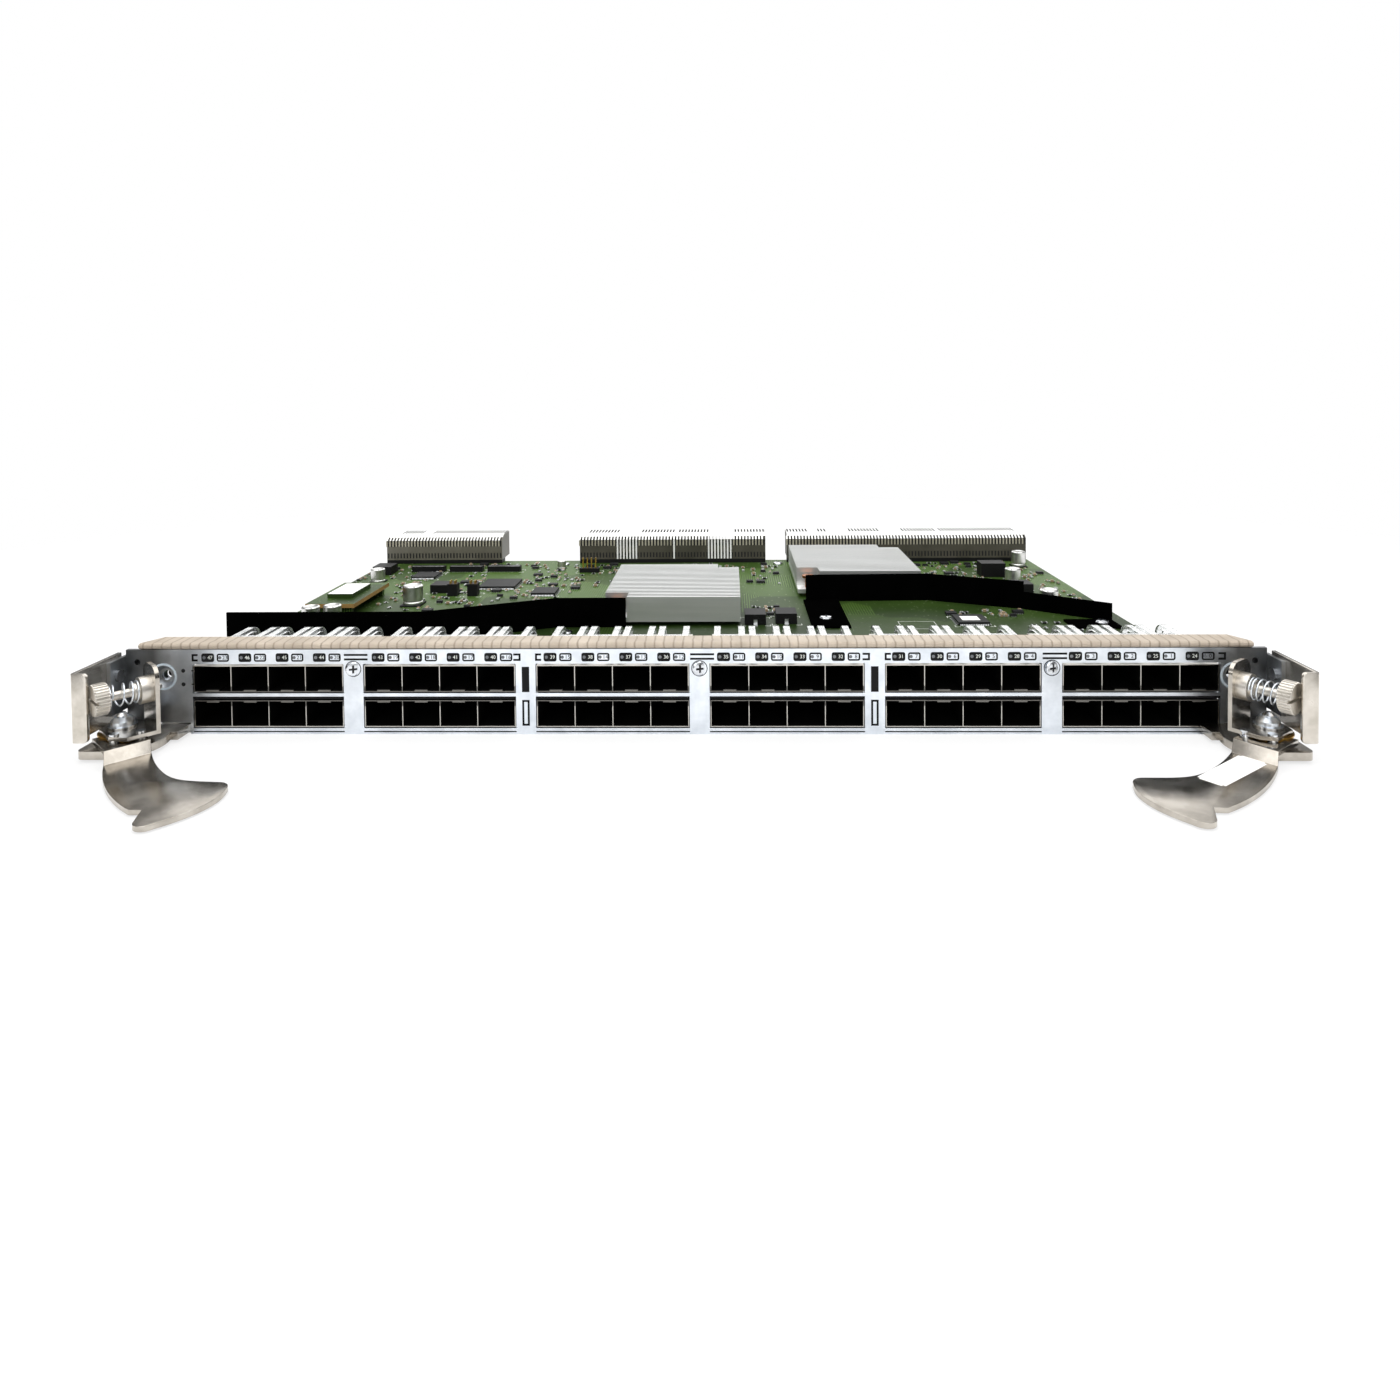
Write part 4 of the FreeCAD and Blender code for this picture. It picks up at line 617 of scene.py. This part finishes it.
# %% [markdown]
# ## Printed marks on the panel
# Each port column has two small lozenges above it. A black one shows the lower port's lamp and
# number in white, and an outlined one shows the upper port's in black. Brackets and pairs of lines
# tie the blocks of four together. They are screen-printed, so each is a skin a few hundredths of a
# millimetre thick on the panel face. Two more dark skins, under each row of windows, are painted
# shadow: they show as the dark gaps below the cages.

# %% Lozenge outlines
INK = 0.03 * MM
LAMP_LINE, PITCH, CREEP = 29.25 * MM, 14.25 * MM, 0.25 * MM
COLUMNS = []
for block_index in range(6):
    low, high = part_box(f"port_cages_{block_index + 1}")
    COLUMNS += [(low.x + high.x) / 2 + (port - 1.5) * PITCH - CREEP * block_index
                for port in range(4)]


def lozenge(name, width, height, corner, rim=0.0):
    """A flat rounded rectangle that faces -Y, or only its rim."""
    def outline(inset):
        points = []
        reach_x, reach_z = width / 2 - corner, height / 2 - corner
        for quarter, (sx, sz) in enumerate(((1, 1), (-1, 1), (-1, -1), (1, -1))):
            for step in range(6):
                angle = math.pi / 2 * (quarter + step / 5)
                reach = corner - inset
                points.append((sx * reach_x + reach * math.cos(angle), 0,
                               sz * reach_z + reach * math.sin(angle)))
        return points
    made = bmesh.new()
    outer = [made.verts.new(p) for p in outline(0)]
    if rim:
        inner = [made.verts.new(p) for p in outline(rim)]
        for i in range(len(outer)):
            j = (i + 1) % len(outer)
            made.faces.new((outer[i], outer[j], inner[j], inner[i]))
    else:
        made.faces.new(outer)
    thicken(made, (0, -INK, 0))
    return as_mesh(name, made)


def on_panel(name, part, shift, turn, material):
    """Stamp a part beside every port column, on the line of the lamps."""
    stamp(name, part, [((x + step * MM, 0, LAMP_LINE), turn, SAME) for step in shift
                       for x in COLUMNS], material)


lamp = turned_part("lamp", [(0, 0), (0.62 * MM, 0), (0.62 * MM, 2 * INK), (0, 2 * INK)], 14)
on_panel("lamp_lozenges_black", lozenge("full", 4.9 * MM, 3.3 * MM, 0.8 * MM), (-1.5,), NO_TURN,
         ink_and_painted_shadow)
on_panel("lamp_lozenges_outlined", lozenge("rim", 4.7 * MM, 3.1 * MM, 0.8 * MM, 0.6 * MM), (4.3,),
         NO_TURN, ink_and_painted_shadow)
on_panel("lamp_windows", lamp, (-2.9, 3.1), FACING,
         moulded("lamp window", "#5A5D60", "#74777A", 0.2))

# %% Port numbers, brackets and block marks
def numbers(name, items, material, height):
    """One flat mesh of several short texts, each facing -Y, at (text, x, z)."""
    made = bmesh.new()
    for text, x, z in items:
        curve = bpy.data.curves.new("number", "FONT")
        curve.body, curve.size = text, height
        curve.align_x, curve.align_y = "CENTER", "CENTER"
        curve.resolution_u = 3
        item = bpy.data.objects.new("number", curve)
        scene.collection.objects.link(item)
        mesh = settled(item)
        mesh.transform(Matrix.Translation((x, -2 * INK, z)) @ Matrix.Rotation(math.pi / 2, 4, "X"))
        made.from_mesh(mesh)
        bpy.data.meshes.remove(mesh)
    mesh = bpy.data.meshes.new(name)
    made.to_mesh(mesh)
    made.free()
    return keep(name, mesh, material)


count = len(COLUMNS)
numbers("lower_port_numbers", [(str(2 * count - 1 - i), x - 0.6 * MM, LAMP_LINE)
                               for i, x in enumerate(COLUMNS)], white_ink, 1.9 * MM)
numbers("upper_port_numbers", [(str(count - 1 - i), x + 5.1 * MM, LAMP_LINE)
                               for i, x in enumerate(COLUMNS)], ink_and_painted_shadow, 2.1 * MM)


def mark(x, z, wide, tall):
    return x, -INK, z, wide, INK, tall


marks = []
z, tall, thin = LAMP_LINE - 1.4 * MM, 2.8 * MM, 0.75 * MM
for index in range(6):
    low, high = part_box(f"port_cages_{index + 1}")
    opens = index % 2 == 0
    x = low.x - 0.4 * MM if opens else high.x + 1.5 * MM
    arm_x, arm = (x, 2.3 * MM) if opens else (x - 2.0 * MM, 2.0 * MM)
    marks += [mark(x, z, thin, tall), mark(arm_x, z, arm, thin),
              mark(arm_x, z + tall - thin, arm, thin)]
    if opens:
        marks += [mark(high.x + 0.6 * MM, LAMP_LINE + lift * MM, 9.0 * MM, thin)
                  for lift in (-1.1, 0.6)]
    elif index < 5:
        start, wide, base, top = high.x + 2.6 * MM, 2.8 * MM, 3.2 * MM, 13.0 * MM
        marks += [mark(start, 16.0 * MM, wide, 9.6 * MM), mark(start, base, thin, top - base),
                  mark(start + wide - thin, base, thin, top - base),
                  mark(start, base, wide, thin), mark(start, top - thin, wide, thin)]
STATUS_LINES = (24.3 * MM, 19.1 * MM)
marks += [mark(-188.6 * MM, z - 0.2 * MM, 0.9 * MM, 0.4 * MM) for z in STATUS_LINES]
bars("panel_block_marks", marks, ink_and_painted_shadow)
# Painted shadow: for each block, one dark skin just above the lower cages and one near the panel's
# foot.
shade = []
for index in range(1, 7):
    low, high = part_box(f"port_cages_{index}")
    lower_top = min(top.z for _, top in islands(f"port_cages_{index}"))
    shade += [mark(low.x - 0.3 * MM, z, high.x - low.x + 0.6 * MM, tall)
              for z, tall in ((lower_top + 0.7 * MM, 0.85 * MM), (0.75 * MM, 0.45 * MM))]
bars("window_shadow_lines", shade, ink_and_painted_shadow)
stamp("status_lamps", lamp, [((-191.7 * MM, 0, z), FACING, (1.25, 1.25, 1))
                             for z in STATUS_LINES], shade_and_marks_dark)
print("marks:", len(marks))

# %% [markdown]
# ## Screws
# Pan-head cross-recess screws hold the board. The head is turned from a profile, the cross is
# cut from it once, and the finished head is stamped where each plain CAD screw stands.

# %% Cross-recess heads
def crossed(long, wide, height, lift, rise=0.0):
    """Two crossed arms as separate meshes, the second a little higher by the rise."""
    arms = []
    for turn in (0, 90):
        arm = block("arm", long, wide, height)
        arm.transform(Matrix.Translation((0, 0, lift + rise * (turn > 0)))
                      @ Matrix.Rotation(math.radians(turn), 4, "Z"))
        arms.append(arm)
    return arms


def cross_head(name, radius, height):
    profile = [(0, 0), (radius, 0), (radius, 0.35 * height), (0.86 * radius, 0.75 * height),
               (0.55 * radius, 0.95 * height), (0, height)]
    head = bpy.data.objects.new(name, turned_part(name, profile))
    cutters = [bpy.data.objects.new("arm", arm)
               for arm in crossed(1.15 * radius, 0.3 * radius, height, 0.45 * height)]
    for item in (head, *cutters):
        scene.collection.objects.link(item)
    for cutter in cutters:
        taken = head.modifiers.new("cross", "BOOLEAN")
        taken.operation, taken.object, taken.solver = "DIFFERENCE", cutter, "EXACT"
    mesh = settled(head)
    for cutter in cutters:
        bpy.data.objects.remove(cutter)
    return smooth(mesh, 30)


def recess_floor(name, radius, height):
    """The two crossed arms at the bottom of a recess, as one thin dark skin of painted shade."""
    made = bmesh.new()
    for arm in crossed(1.1 * radius, 0.28 * radius, 0.02 * MM, 0.46 * height, 0.005 * MM):
        made.from_mesh(arm)
    return as_mesh(name, made)


for node, radius in (("board_screws", 3.0 * MM), ("latch_base_screws", 2.4 * MM)):
    head = cross_head(node + "_head", radius, 1.5 * MM)
    places = [((*((low + high) / 2).xy, high.z - 1.5 * MM), (0, 0, 37 * i), SAME)
              for i, (low, high) in enumerate(islands(node))]
    stamp(node + "_detailed", head, places, bright_steel, "card", (node,))
    # Painted shade: a dark skin at the bottom of each cross recess.
    stamp(node + "_recesses", recess_floor(node + "_floor", radius, 1.5 * MM), places, shade_and_marks_dark)

# %% [markdown]
# ## Thumbscrew springs
# A light coil spring pushes each thumbscrew out until its screw is driven. The coil is a round
# tube along a helix.

# %% Springs
joints = {joint["name"]: joint for joint in frame["joints"]}
for side in ("left", "right"):
    turn = joints[f"{side}_thumbscrew_turn"]
    along = Vector(turn["axis"]).normalized()
    across = along.cross(Vector((0, 0, 1))).normalized()
    origin = Vector(turn["pos_m"])
    curve = bpy.data.curves.new("spring", "CURVE")
    curve.dimensions, curve.bevel_depth, curve.bevel_resolution = "3D", 0.3 * MM, 3
    curve.use_fill_caps = True
    steps, turns, radius = 120, 3.4 if side == "left" else 4.5, 3.75 * MM
    start, end = -5.6 * MM, 3.0 * MM
    spline = curve.splines.new("POLY")
    spline.points.add(steps)
    for i in range(steps + 1):
        angle = 2 * math.pi * turns * i / steps
        run = 1 - (1 - i / steps) ** 1.5
        point = (origin + along * (start + (end - start) * run)
                 + across * radius * math.cos(angle)
                 + Vector((0, 0, 1)) * radius * math.sin(angle))
        spline.points[i].co = (*point, 1)
    item = bpy.data.objects.new("spring", curve)
    scene.collection.objects.link(item)
    coil = keep(f"coil_spring_{side}", smooth(settled(item), 60), nut_steel, f"{side}_lever",
                (f"thumbscrew_spring_{side}",))
    length = end - start + 0.6 * MM
    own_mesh(coil)

# %% [markdown]
# ## Small parts on the board
# Chip resistors and capacitors sit in clusters round the larger parts, squared to the board.
# A list of cluster boxes and a fixed seed give the places, and any place that another part
# covers is dropped. Bodies and tinned ends are two stamps on the same places, and a few
# larger chips with leads stand among them.

# %% Places for the small parts
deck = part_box("circuit_board")[1].z
dice = random.Random(48)
TALL = ("control_chips", "capacitors", "power_parts", "board_headers", "power_module",
        "heat_sink_left", "heat_sink_right", "backplane_connector_", "board_screws",
        "light_pipes", "port_cages_")
COVERED = [pair for node in nodes if node.startswith(TALL) for pair in islands(node)]
for node in ("air_baffle_left", "air_baffle_right"):
    plate = nodes[node].data
    COVERED += [corners([plate.vertices[i].co for i in face.vertices]) for face in plate.polygons]
edge_low, edge_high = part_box("circuit_board")


def is_free(x, y, reach):
    if not (edge_low.x + reach < x < edge_high.x - reach and y < edge_high.y - reach):
        return False
    return all(x < low.x - reach or x > high.x + reach or y < low.y - reach
               or y > high.y + reach for low, high in COVERED)


CLUSTERS = [(-203, 165, -182, 240, 40), (-178, 125, -158, 215, 46), (-150, 120, -104, 172, 50),
            (-104, 140, -70, 205, 74), (-140, 176, -126, 236, 24), (-100, 205, -50, 238, 60),
            (-150, 224, -100, 240, 24), (20, 108, 46, 128, 34), (-10, 180, 46, 238, 60),
            (124, 106, 160, 128, 34), (150, 60, 186, 96, 26), (154, 132, 200, 240, 120),
            (122, 160, 156, 238, 70), (50, 228, 120, 240, 20), (-60, 176, -20, 200, 20)]
small_chips = []
for x0, y0, x1, y1, wanted in CLUSTERS:
    for _ in range(wanted // 8):
        x, y = dice.uniform(x0, x1) * MM, dice.uniform(y0, y1) * MM
        long, deep = (side * MM for side in dice.choice(((3.8, 2.6), (3.0, 1.7), (5.0, 3.9))))
        if is_free(x, y, 3.6 * MM):
            small_chips.append(((x, y, deck), NO_TURN, (long, deep, 1.3 * MM)))
            half = Vector((long / 2, deep / 2, 0))
            COVERED.append((Vector((x, y, deck)) - half, Vector((x, y, deck)) + half))
stamp("small_chips", UNIT, small_chips, chip_black)
resistors, ceramics, taken = [], [], set()
for x0, y0, x1, y1, wanted in CLUSTERS:
    for _ in range(wanted):
        x = round(dice.uniform(x0, x1) / 2.0) * 2.0 * MM
        y = round(dice.uniform(y0, y1) / 2.2) * 2.2 * MM
        if (x, y) in taken or not is_free(x, y, 1.8 * MM):
            continue
        taken.add((x, y))
        grow = dice.choice((1.0, 1.15, 1.35))
        place = ((x, y, deck), (0, 0, dice.choice((0, 90))), (grow, grow, grow))
        (ceramics if dice.random() < 0.45 else resistors).append(place)
chip_body = block("chip_body", 1.3 * MM, 1.1 * MM, 0.6 * MM, 0.08 * MM)
ceramic_body = block("ceramic_body", 1.3 * MM, 1.15 * MM, 1.0 * MM, 0.1 * MM)
pair_of_ends = bmesh.new()
for side in (-1, 1):
    end = block("end", 0.42 * MM, 1.2 * MM, 0.68 * MM, 0.06 * MM)
    end.transform(Matrix.Translation((side * 0.85 * MM, 0, 0)))
    pair_of_ends.from_mesh(end)
chip_ends = as_mesh("chip_ends", pair_of_ends)
stamp("chip_resistors", chip_body, resistors, chip_black)
stamp("ceramic_capacitors", ceramic_body, ceramics, tan_ceramic)
stamp("tinned_ends", chip_ends, resistors + ceramics, tin)
print("small parts:", len(resistors), "resistors", len(ceramics), "ceramics")

# %% Printed legend on the board
def line(x, y, wide, deep):
    return x, y, deck, wide, deep, INK


legend, small_leads = [], []
for (x, y, _), _, _ in resistors + ceramics:
    if dice.random() < 0.75:
        wide = dice.uniform(1.0, 2.4) * MM
        legend.append(line(x - wide / 2, y + 1.25 * MM, wide, 0.4 * MM))
for (x, y, _), _, (long, deep, _) in small_chips:
    small_leads += [(x - long / 2 + (0.25 + 0.9 * step) * MM, lead_y, deck, 0.4 * MM, 0.9 * MM,
                     0.3 * MM) for step in range(int(long / (0.9 * MM)))
                    for lead_y in (y - deep / 2 - 0.9 * MM, y + deep / 2)]
for low, high in islands("control_chips") + islands("power_parts") + islands("board_headers"):
    reach, thin, long = 2.0 * MM, 0.3 * MM, 2.4 * MM
    for x, back_x in ((low.x - reach, 0), (high.x + reach, long)):
        for y, back_y in ((low.y - reach, 0), (high.y + reach, long)):
            legend += [line(x - back_x, y, long, thin), line(x, y - back_y, thin, long)]
for x, y, length, depth in ((96, 86, 17, 13), (60, 66, 12, 8)):
    legend += [line(x * MM, (y + step) * MM, length * MM, 0.2 * MM) for step in (0, depth)]
    legend += [line((x + step) * MM, y * MM, 0.2 * MM, depth * MM) for step in (0, length)]
kept = [bar for bar in legend if edge_low.x < bar[0] and bar[0] + bar[3] < edge_high.x
        and bar[1] + bar[4] < edge_high.y and bar[1] > edge_low.y]
bars("board_legend", kept, white_ink)
bars("small_chip_leads", small_leads, tin)
print("legend marks:", len(kept))

# %% [markdown]
# ## Leads, cans and pins
# Chips stand on gull-wing leads, electrolytic capacitors are crimped cans on black bases, and
# the headers show gold pins.

# %% Gull-wing leads round the flat chips
def gull_wing():
    made = bmesh.new()
    side = [(-0.1, 0.75), (0.25, 0.75), (0.5, 0.12), (1.15, 0.12), (1.15, 0.0), (0.42, 0.0),
            (0.15, 0.62), (-0.1, 0.62)]
    for width in (-0.17, 0.17):
        made.faces.new([made.verts.new((width * MM, y * MM, z * MM)) for y, z in side])
    made.verts.ensure_lookup_table()
    for i in range(len(side)):
        j = (i + 1) % len(side)
        made.faces.new([made.verts[k] for k in (i, j, j + len(side), i + len(side))])
    return as_mesh("gull_wing", made)


leads = []
pitch = 0.8 * MM
for low, high in islands("control_chips"):
    for start, end, edges in ((low.x, high.x, ((low.y, 180), (high.y, 0))),
                              (low.y, high.y, ((low.x, 90), (high.x, -90)))):
        count = int((end - start - 1.2 * MM) / pitch)
        for i in range(count + 1):
            along = (start + end) / 2 + (i - count / 2) * pitch
            for edge, angle in edges:
                place = (along, edge, deck) if angle in (0, 180) else (edge, along, deck)
                leads.append((place, (0, 0, angle), SAME))
stamp("gull_wing_leads", gull_wing(), leads, tin)
print("leads:", len(leads))

# %% Crimped cans
cans = [((low + high) / 2, (high.x - low.x) / 2, high.z - low.z)
        for low, high in islands("capacitors")]
can_profile = [(0, 0.07), (0.97, 0.07), (1.0, 0.1), (1.0, 0.17), (0.93, 0.21), (0.93, 0.25),
               (1.0, 0.29), (1.0, 0.94), (0.95, 0.985), (0.8, 1.0), (0.78, 0.985), (0, 0.985)]
can = smooth(turned_part("can", can_profile, 40), 40)
places = [((c.x, c.y, deck), NO_TURN, (r, r, h)) for c, r, h in cans]
stamp("capacitor_cans", can, places, can_metal, "card", ("capacitors",))
stamp("capacitor_bases", block("base", 2.06, 2.06, 0.09, 0.02), places, chip_black)
bars("capacitor_marks", [(c.x - 0.5 * r, c.y - 0.9 * r, deck + 0.986 * h, 1.0 * r,
                          0.25 * r, INK) for c, r, h in cans], shade_and_marks_dark)

# %% Gold pins, power tabs and labels
pins, tabs = [], []
for low, high in islands("board_headers"):
    length, tall, middle = high.x - low.x, high.z - low.z, (low + high) / 2
    if 5 * MM < length < 6 * MM:
        pins += [(middle.x + (step_x - 0.32) * MM, middle.y + (step_y - 0.32) * MM, high.z,
                  0.64 * MM, 0.64 * MM, 1.6 * MM)
                 for step_x in (-1.27, 1.27) for step_y in (-1.27, 1.27)]
    elif tall > 7 * MM:
        pins += [(middle.x + (2.54 * step - 0.34) * MM, low.y + 1.14 * MM, low.z + 2.6 * MM,
                  0.68 * MM, 0.68 * MM, 6.24 * MM) for step in (-1.5, -0.5, 0.5, 1.5)]
    else:
        tabs.append((low.x + 0.4 * MM, low.y + 0.35 * MM, high.z, length - 0.8 * MM, 0.7 * MM,
                     0.1 * MM))
        count = int(length / MM) - 1
        tabs += [(middle.x + (i - (count - 1) / 2 - 0.2) * MM, y, deck, 0.4 * MM, 0.9 * MM,
                  0.2 * MM) for i in range(count) for y in (low.y - 0.9 * MM, high.y)]
switches = [pair for pair in islands("power_parts") if pair[0].x > 0 and pair[1].y < 0.11]
for low, high in switches:
    middle = (low.x + high.x) / 2
    tabs += [(low.x + 0.2 * MM, high.y, deck, high.x - low.x - 0.4 * MM, 1.6 * MM, 1.2 * MM),
             (middle - 0.9 * MM, low.y - 3.2 * MM, deck, 1.8 * MM, 3.2 * MM, 0.6 * MM),
             (middle - 0.9 * MM, low.y - 0.8 * MM, deck, 1.8 * MM, 0.8 * MM, 2.6 * MM)]
bars("gold_pins", pins, gold)
bars("tinned_tabs", tabs, tin)

# %% [markdown]
# ## Labels and bare places
# Where the card carries printed labels, blank white stickers lie in their place. The raised
# module's board has bare, brown edges.

# %% Blank stickers
low, high = islands("control_chips")[-1]
sticker = 0.08 * MM
bars("chip_sticker", [(low.x + 2.6 * MM, low.y + 3.4 * MM, high.z, 8.4 * MM, 7.2 * MM,
                       sticker)], white_paper)
module_low, module_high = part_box("power_module")
bars("module_sticker", [(module_low.x + 6.1 * MM, module_low.y + 12.1 * MM, module_high.z,
                         12.8 * MM, 23.8 * MM, sticker)], white_paper)
edge_z, skin, bare = deck + 4.4 * MM, 0.05 * MM, 2.0 * MM
length, depth = module_high.x - module_low.x, module_high.y - module_low.y
bars("module_bare_edges",
     [(module_low.x, y, edge_z, length, skin, bare) for y in (module_low.y - skin, module_high.y)]
     + [(x, module_low.y, edge_z, skin, depth, bare)
        for x in (module_high.x, module_low.x - skin)], edge_board)

# %% [markdown]
# ## Panel screws, dimples and the handle sticker
# Each panel screw has a low cross-recess head with a dark line round it, which is a painted
# shadow, and a dark skin of painted shade in its recess. Round each captive screw's nut the panel
# is pressed back, and the pressed ring shines. The flat bright ring there is a painted highlight,
# and a dark disc in each nut's bore is painted shade.

# %% Panel screws and dimples
def annulus(name, inner, outer, steps):
    rim = [(inner, 0), (outer, 0), (outer, INK), (inner, INK), (inner, 0)]
    return turned_part(name, rim, steps)


def disc(name, radius, height, steps=20):
    return turned_part(name, [(0, 0), (radius, 0), (radius, height), (0, height)], steps)


def facing(points):
    """Places at full size for parts that face the front."""
    return [(point, FACING, SAME) for point in points]


screws = centres("panel_screws")
places = [((c.x, 0, c.z), (90, 0, 20), SAME) for c in screws]
stamp("panel_screw_heads", cross_head("panel_head", 2.7 * MM, 0.85 * MM), places, bright_steel,
      "card", ("panel_screws",))
stamp("panel_screw_recesses", recess_floor("panel_floor", 2.7 * MM, 0.85 * MM), places,
      shade_and_marks_dark)
# Painted shadow: a dark ring round each panel screw head.
stamp("panel_screw_rings", annulus("ring", 2.75 * MM, 3.05 * MM, 40),
      facing((c.x, 0, c.z) for c in screws), ink_and_painted_shadow)
stamp("pressed_rings", annulus("pressed", 4.3 * MM, 5.1 * MM, 48),
      facing((c.x, 0, c.z) for c in centres("lock_nuts")), pressed_rim_highlight)
# Painted shade: a dark disc inside each nut's bore.
stamp("nut_bores", disc("bore", 1.45 * MM, 0.2 * MM),
      facing(((low.x + high.x) / 2, high.y + 0.25 * MM, (low.z + high.z) / 2)
             for low, high in islands("lock_nuts")), shade_and_marks_dark)
stamp("locating_hole_shadows", disc("plug", 1.7 * MM, 0.1 * MM),
      facing((x * MM, 1.95 * MM, 27.6 * MM) for x in (-209.3, 209.3)), shade_and_marks_dark)

# %% Sticker on the right handle
pad_top = 2.38 * MM
outline = [(166.8, -42.6), (190.5, -24.6), (196.0, -31.9), (172.2, -49.6)]
made = bmesh.new()
made.faces.new([made.verts.new((x * MM, y * MM, pad_top)) for x, y in outline])
bmesh.ops.bevel(made, geom=made.verts[:], offset=0.9 * MM, segments=4, affect="VERTICES")
thicken(made, (0, 0, sticker))
keep("handle_sticker", as_mesh("handle_sticker", made), white_paper, "right_lever")

# %% [markdown]
# ## Rounded edges on the plates
# The levers, guards and base plates are tumbled after they are cut, so that no edge is sharp.
# A bevel on a copy of each plate gives the bright line that a rounded edge shows.

# %% Ease the edges
def ease(node, width, material, body):
    plate = bpy.data.objects.new(node + "_eased", nodes[node].data.copy())
    scene.collection.objects.link(plate)
    made = bmesh.new()
    made.from_mesh(plate.data)
    bmesh.ops.remove_doubles(made, verts=made.verts, dist=1e-6)
    bmesh.ops.dissolve_limit(made, angle_limit=math.radians(1), verts=made.verts,
                             edges=made.edges)
    made.to_mesh(plate.data)
    made.free()
    rounding = plate.modifiers.new("rounding", "BEVEL")
    rounding.width, rounding.segments = width, 3
    rounding.limit_method, rounding.angle_limit = "ANGLE", math.radians(40)
    rounding.use_clamp_overlap = True
    keep(node + "_eased", smooth(settled(plate), 40), material, body, (node,))


for side in ("left", "right"):
    ease(f"lever_{side}", 0.5 * MM, nickel, f"{side}_lever")
    ease(f"guard_{side}", 0.35 * MM, lit_guard_nickel, "card")
    ease(f"latch_base_{side}", 0.5 * MM, nickel, "card")

# %% [markdown]
# ## Backplane connectors
# Each connector is a row of thin wafers. Dark slots part them at the foot, at the shoulder and,
# over part of each row, on top. These dark bars are painted shade for the gaps between the wafers.
# The sloped shoulder and the upper faces are pale.

# %% Slots and pale tops
combs, tops, lands, slopes, fins, edges = [], [], [], [], [], []
TOOTHED = {"left": ((0.09, 0.26), (0.36, 1.0)), "middle": ((0.03, 1.0),),
           "right": ((0.0, 0.09), (0.128, 0.167), (0.267, 0.406), (0.5, 0.635), (0.657, 0.97))}
WAFER, SLOPE, RISE = 2.0 * MM, 5.0 * MM, 3.2 * MM
tilt = math.degrees(math.atan2(RISE, SLOPE))
along_slope = math.hypot(SLOPE, RISE)


def on_slope(low, high, x, wide, start, end):
    """A thin plate on a connector's sloped shoulder, between two shares of the slope."""
    share = (start + end) / 2
    place = (x + wide / 2, low.y + share * SLOPE, high.z - (1 - share) * RISE)
    return place, (tilt, 0, 0), (wide, (end - start) * along_slope, 0.05 * MM)


OPEN_WAFERS = [*range(12, 19), 30, *range(41, 49)]
for which, toothed in TOOTHED.items():
    low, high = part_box(f"backplane_connector_{which}")
    count = round((high.x - low.x) / WAFER)
    tops.append((low.x + 0.1 * MM, low.y + 5.2 * MM, high.z, high.x - low.x - 0.2 * MM,
                 high.y - low.y - 5.4 * MM, 0.05 * MM))
    slopes.append(on_slope(low, high, low.x, high.x - low.x, 0.56, 0.99))
    for i in range(count):
        x = low.x + (i + 0.5) * WAFER - 0.45 * MM
        combs += [(x, low.y + 0.3 * MM, low.z + lift * MM, 0.9 * MM, 2.2 * MM, tall * MM)
                  for lift, tall in ((1.0, 3.3), (8.4, 3.7))]
        edges.append((x - 1.05 * MM, low.y - 0.03 * MM, low.z + 8.6 * MM, 0.9 * MM, 0.03 * MM,
                      3.5 * MM))
        fins.append(on_slope(low, high, x - 1.05 * MM, 1.0 * MM, 0.04, 0.56))
        if which == "middle" and i in OPEN_WAFERS:
            lands.append((x - 1.0 * MM, low.y - 0.05 * MM, low.z + 0.2 * MM, 0.95 * MM,
                          0.05 * MM, 12.0 * MM))
            continue
        if any(start <= (i + 0.5) / count <= end for start, end in toothed):
            combs.append((x, high.y - 10.6 * MM, high.z + 0.05 * MM, 1.1 * MM, 10.3 * MM, INK))
bars("connector_pale_tops", tops, white_paper)
stamp("connector_pale_shoulders", UNIT, slopes + fins, white_paper)
bars("connector_pale_wafers", lands, white_paper)
bars("connector_wafer_edges", edges, wafer_edge)
# Painted shade: dark bars stand for the gaps between the wafers.
bars("connector_slots", combs, shade_and_marks_dark)

# %% [markdown]
# ## Finish
# The CAD box is printed at the end.

# %% Print the CAD box
def plain(box):
    return [[round(value, 6) for value in corner] for corner in box]


print("CAD box:", plain(cad_box))
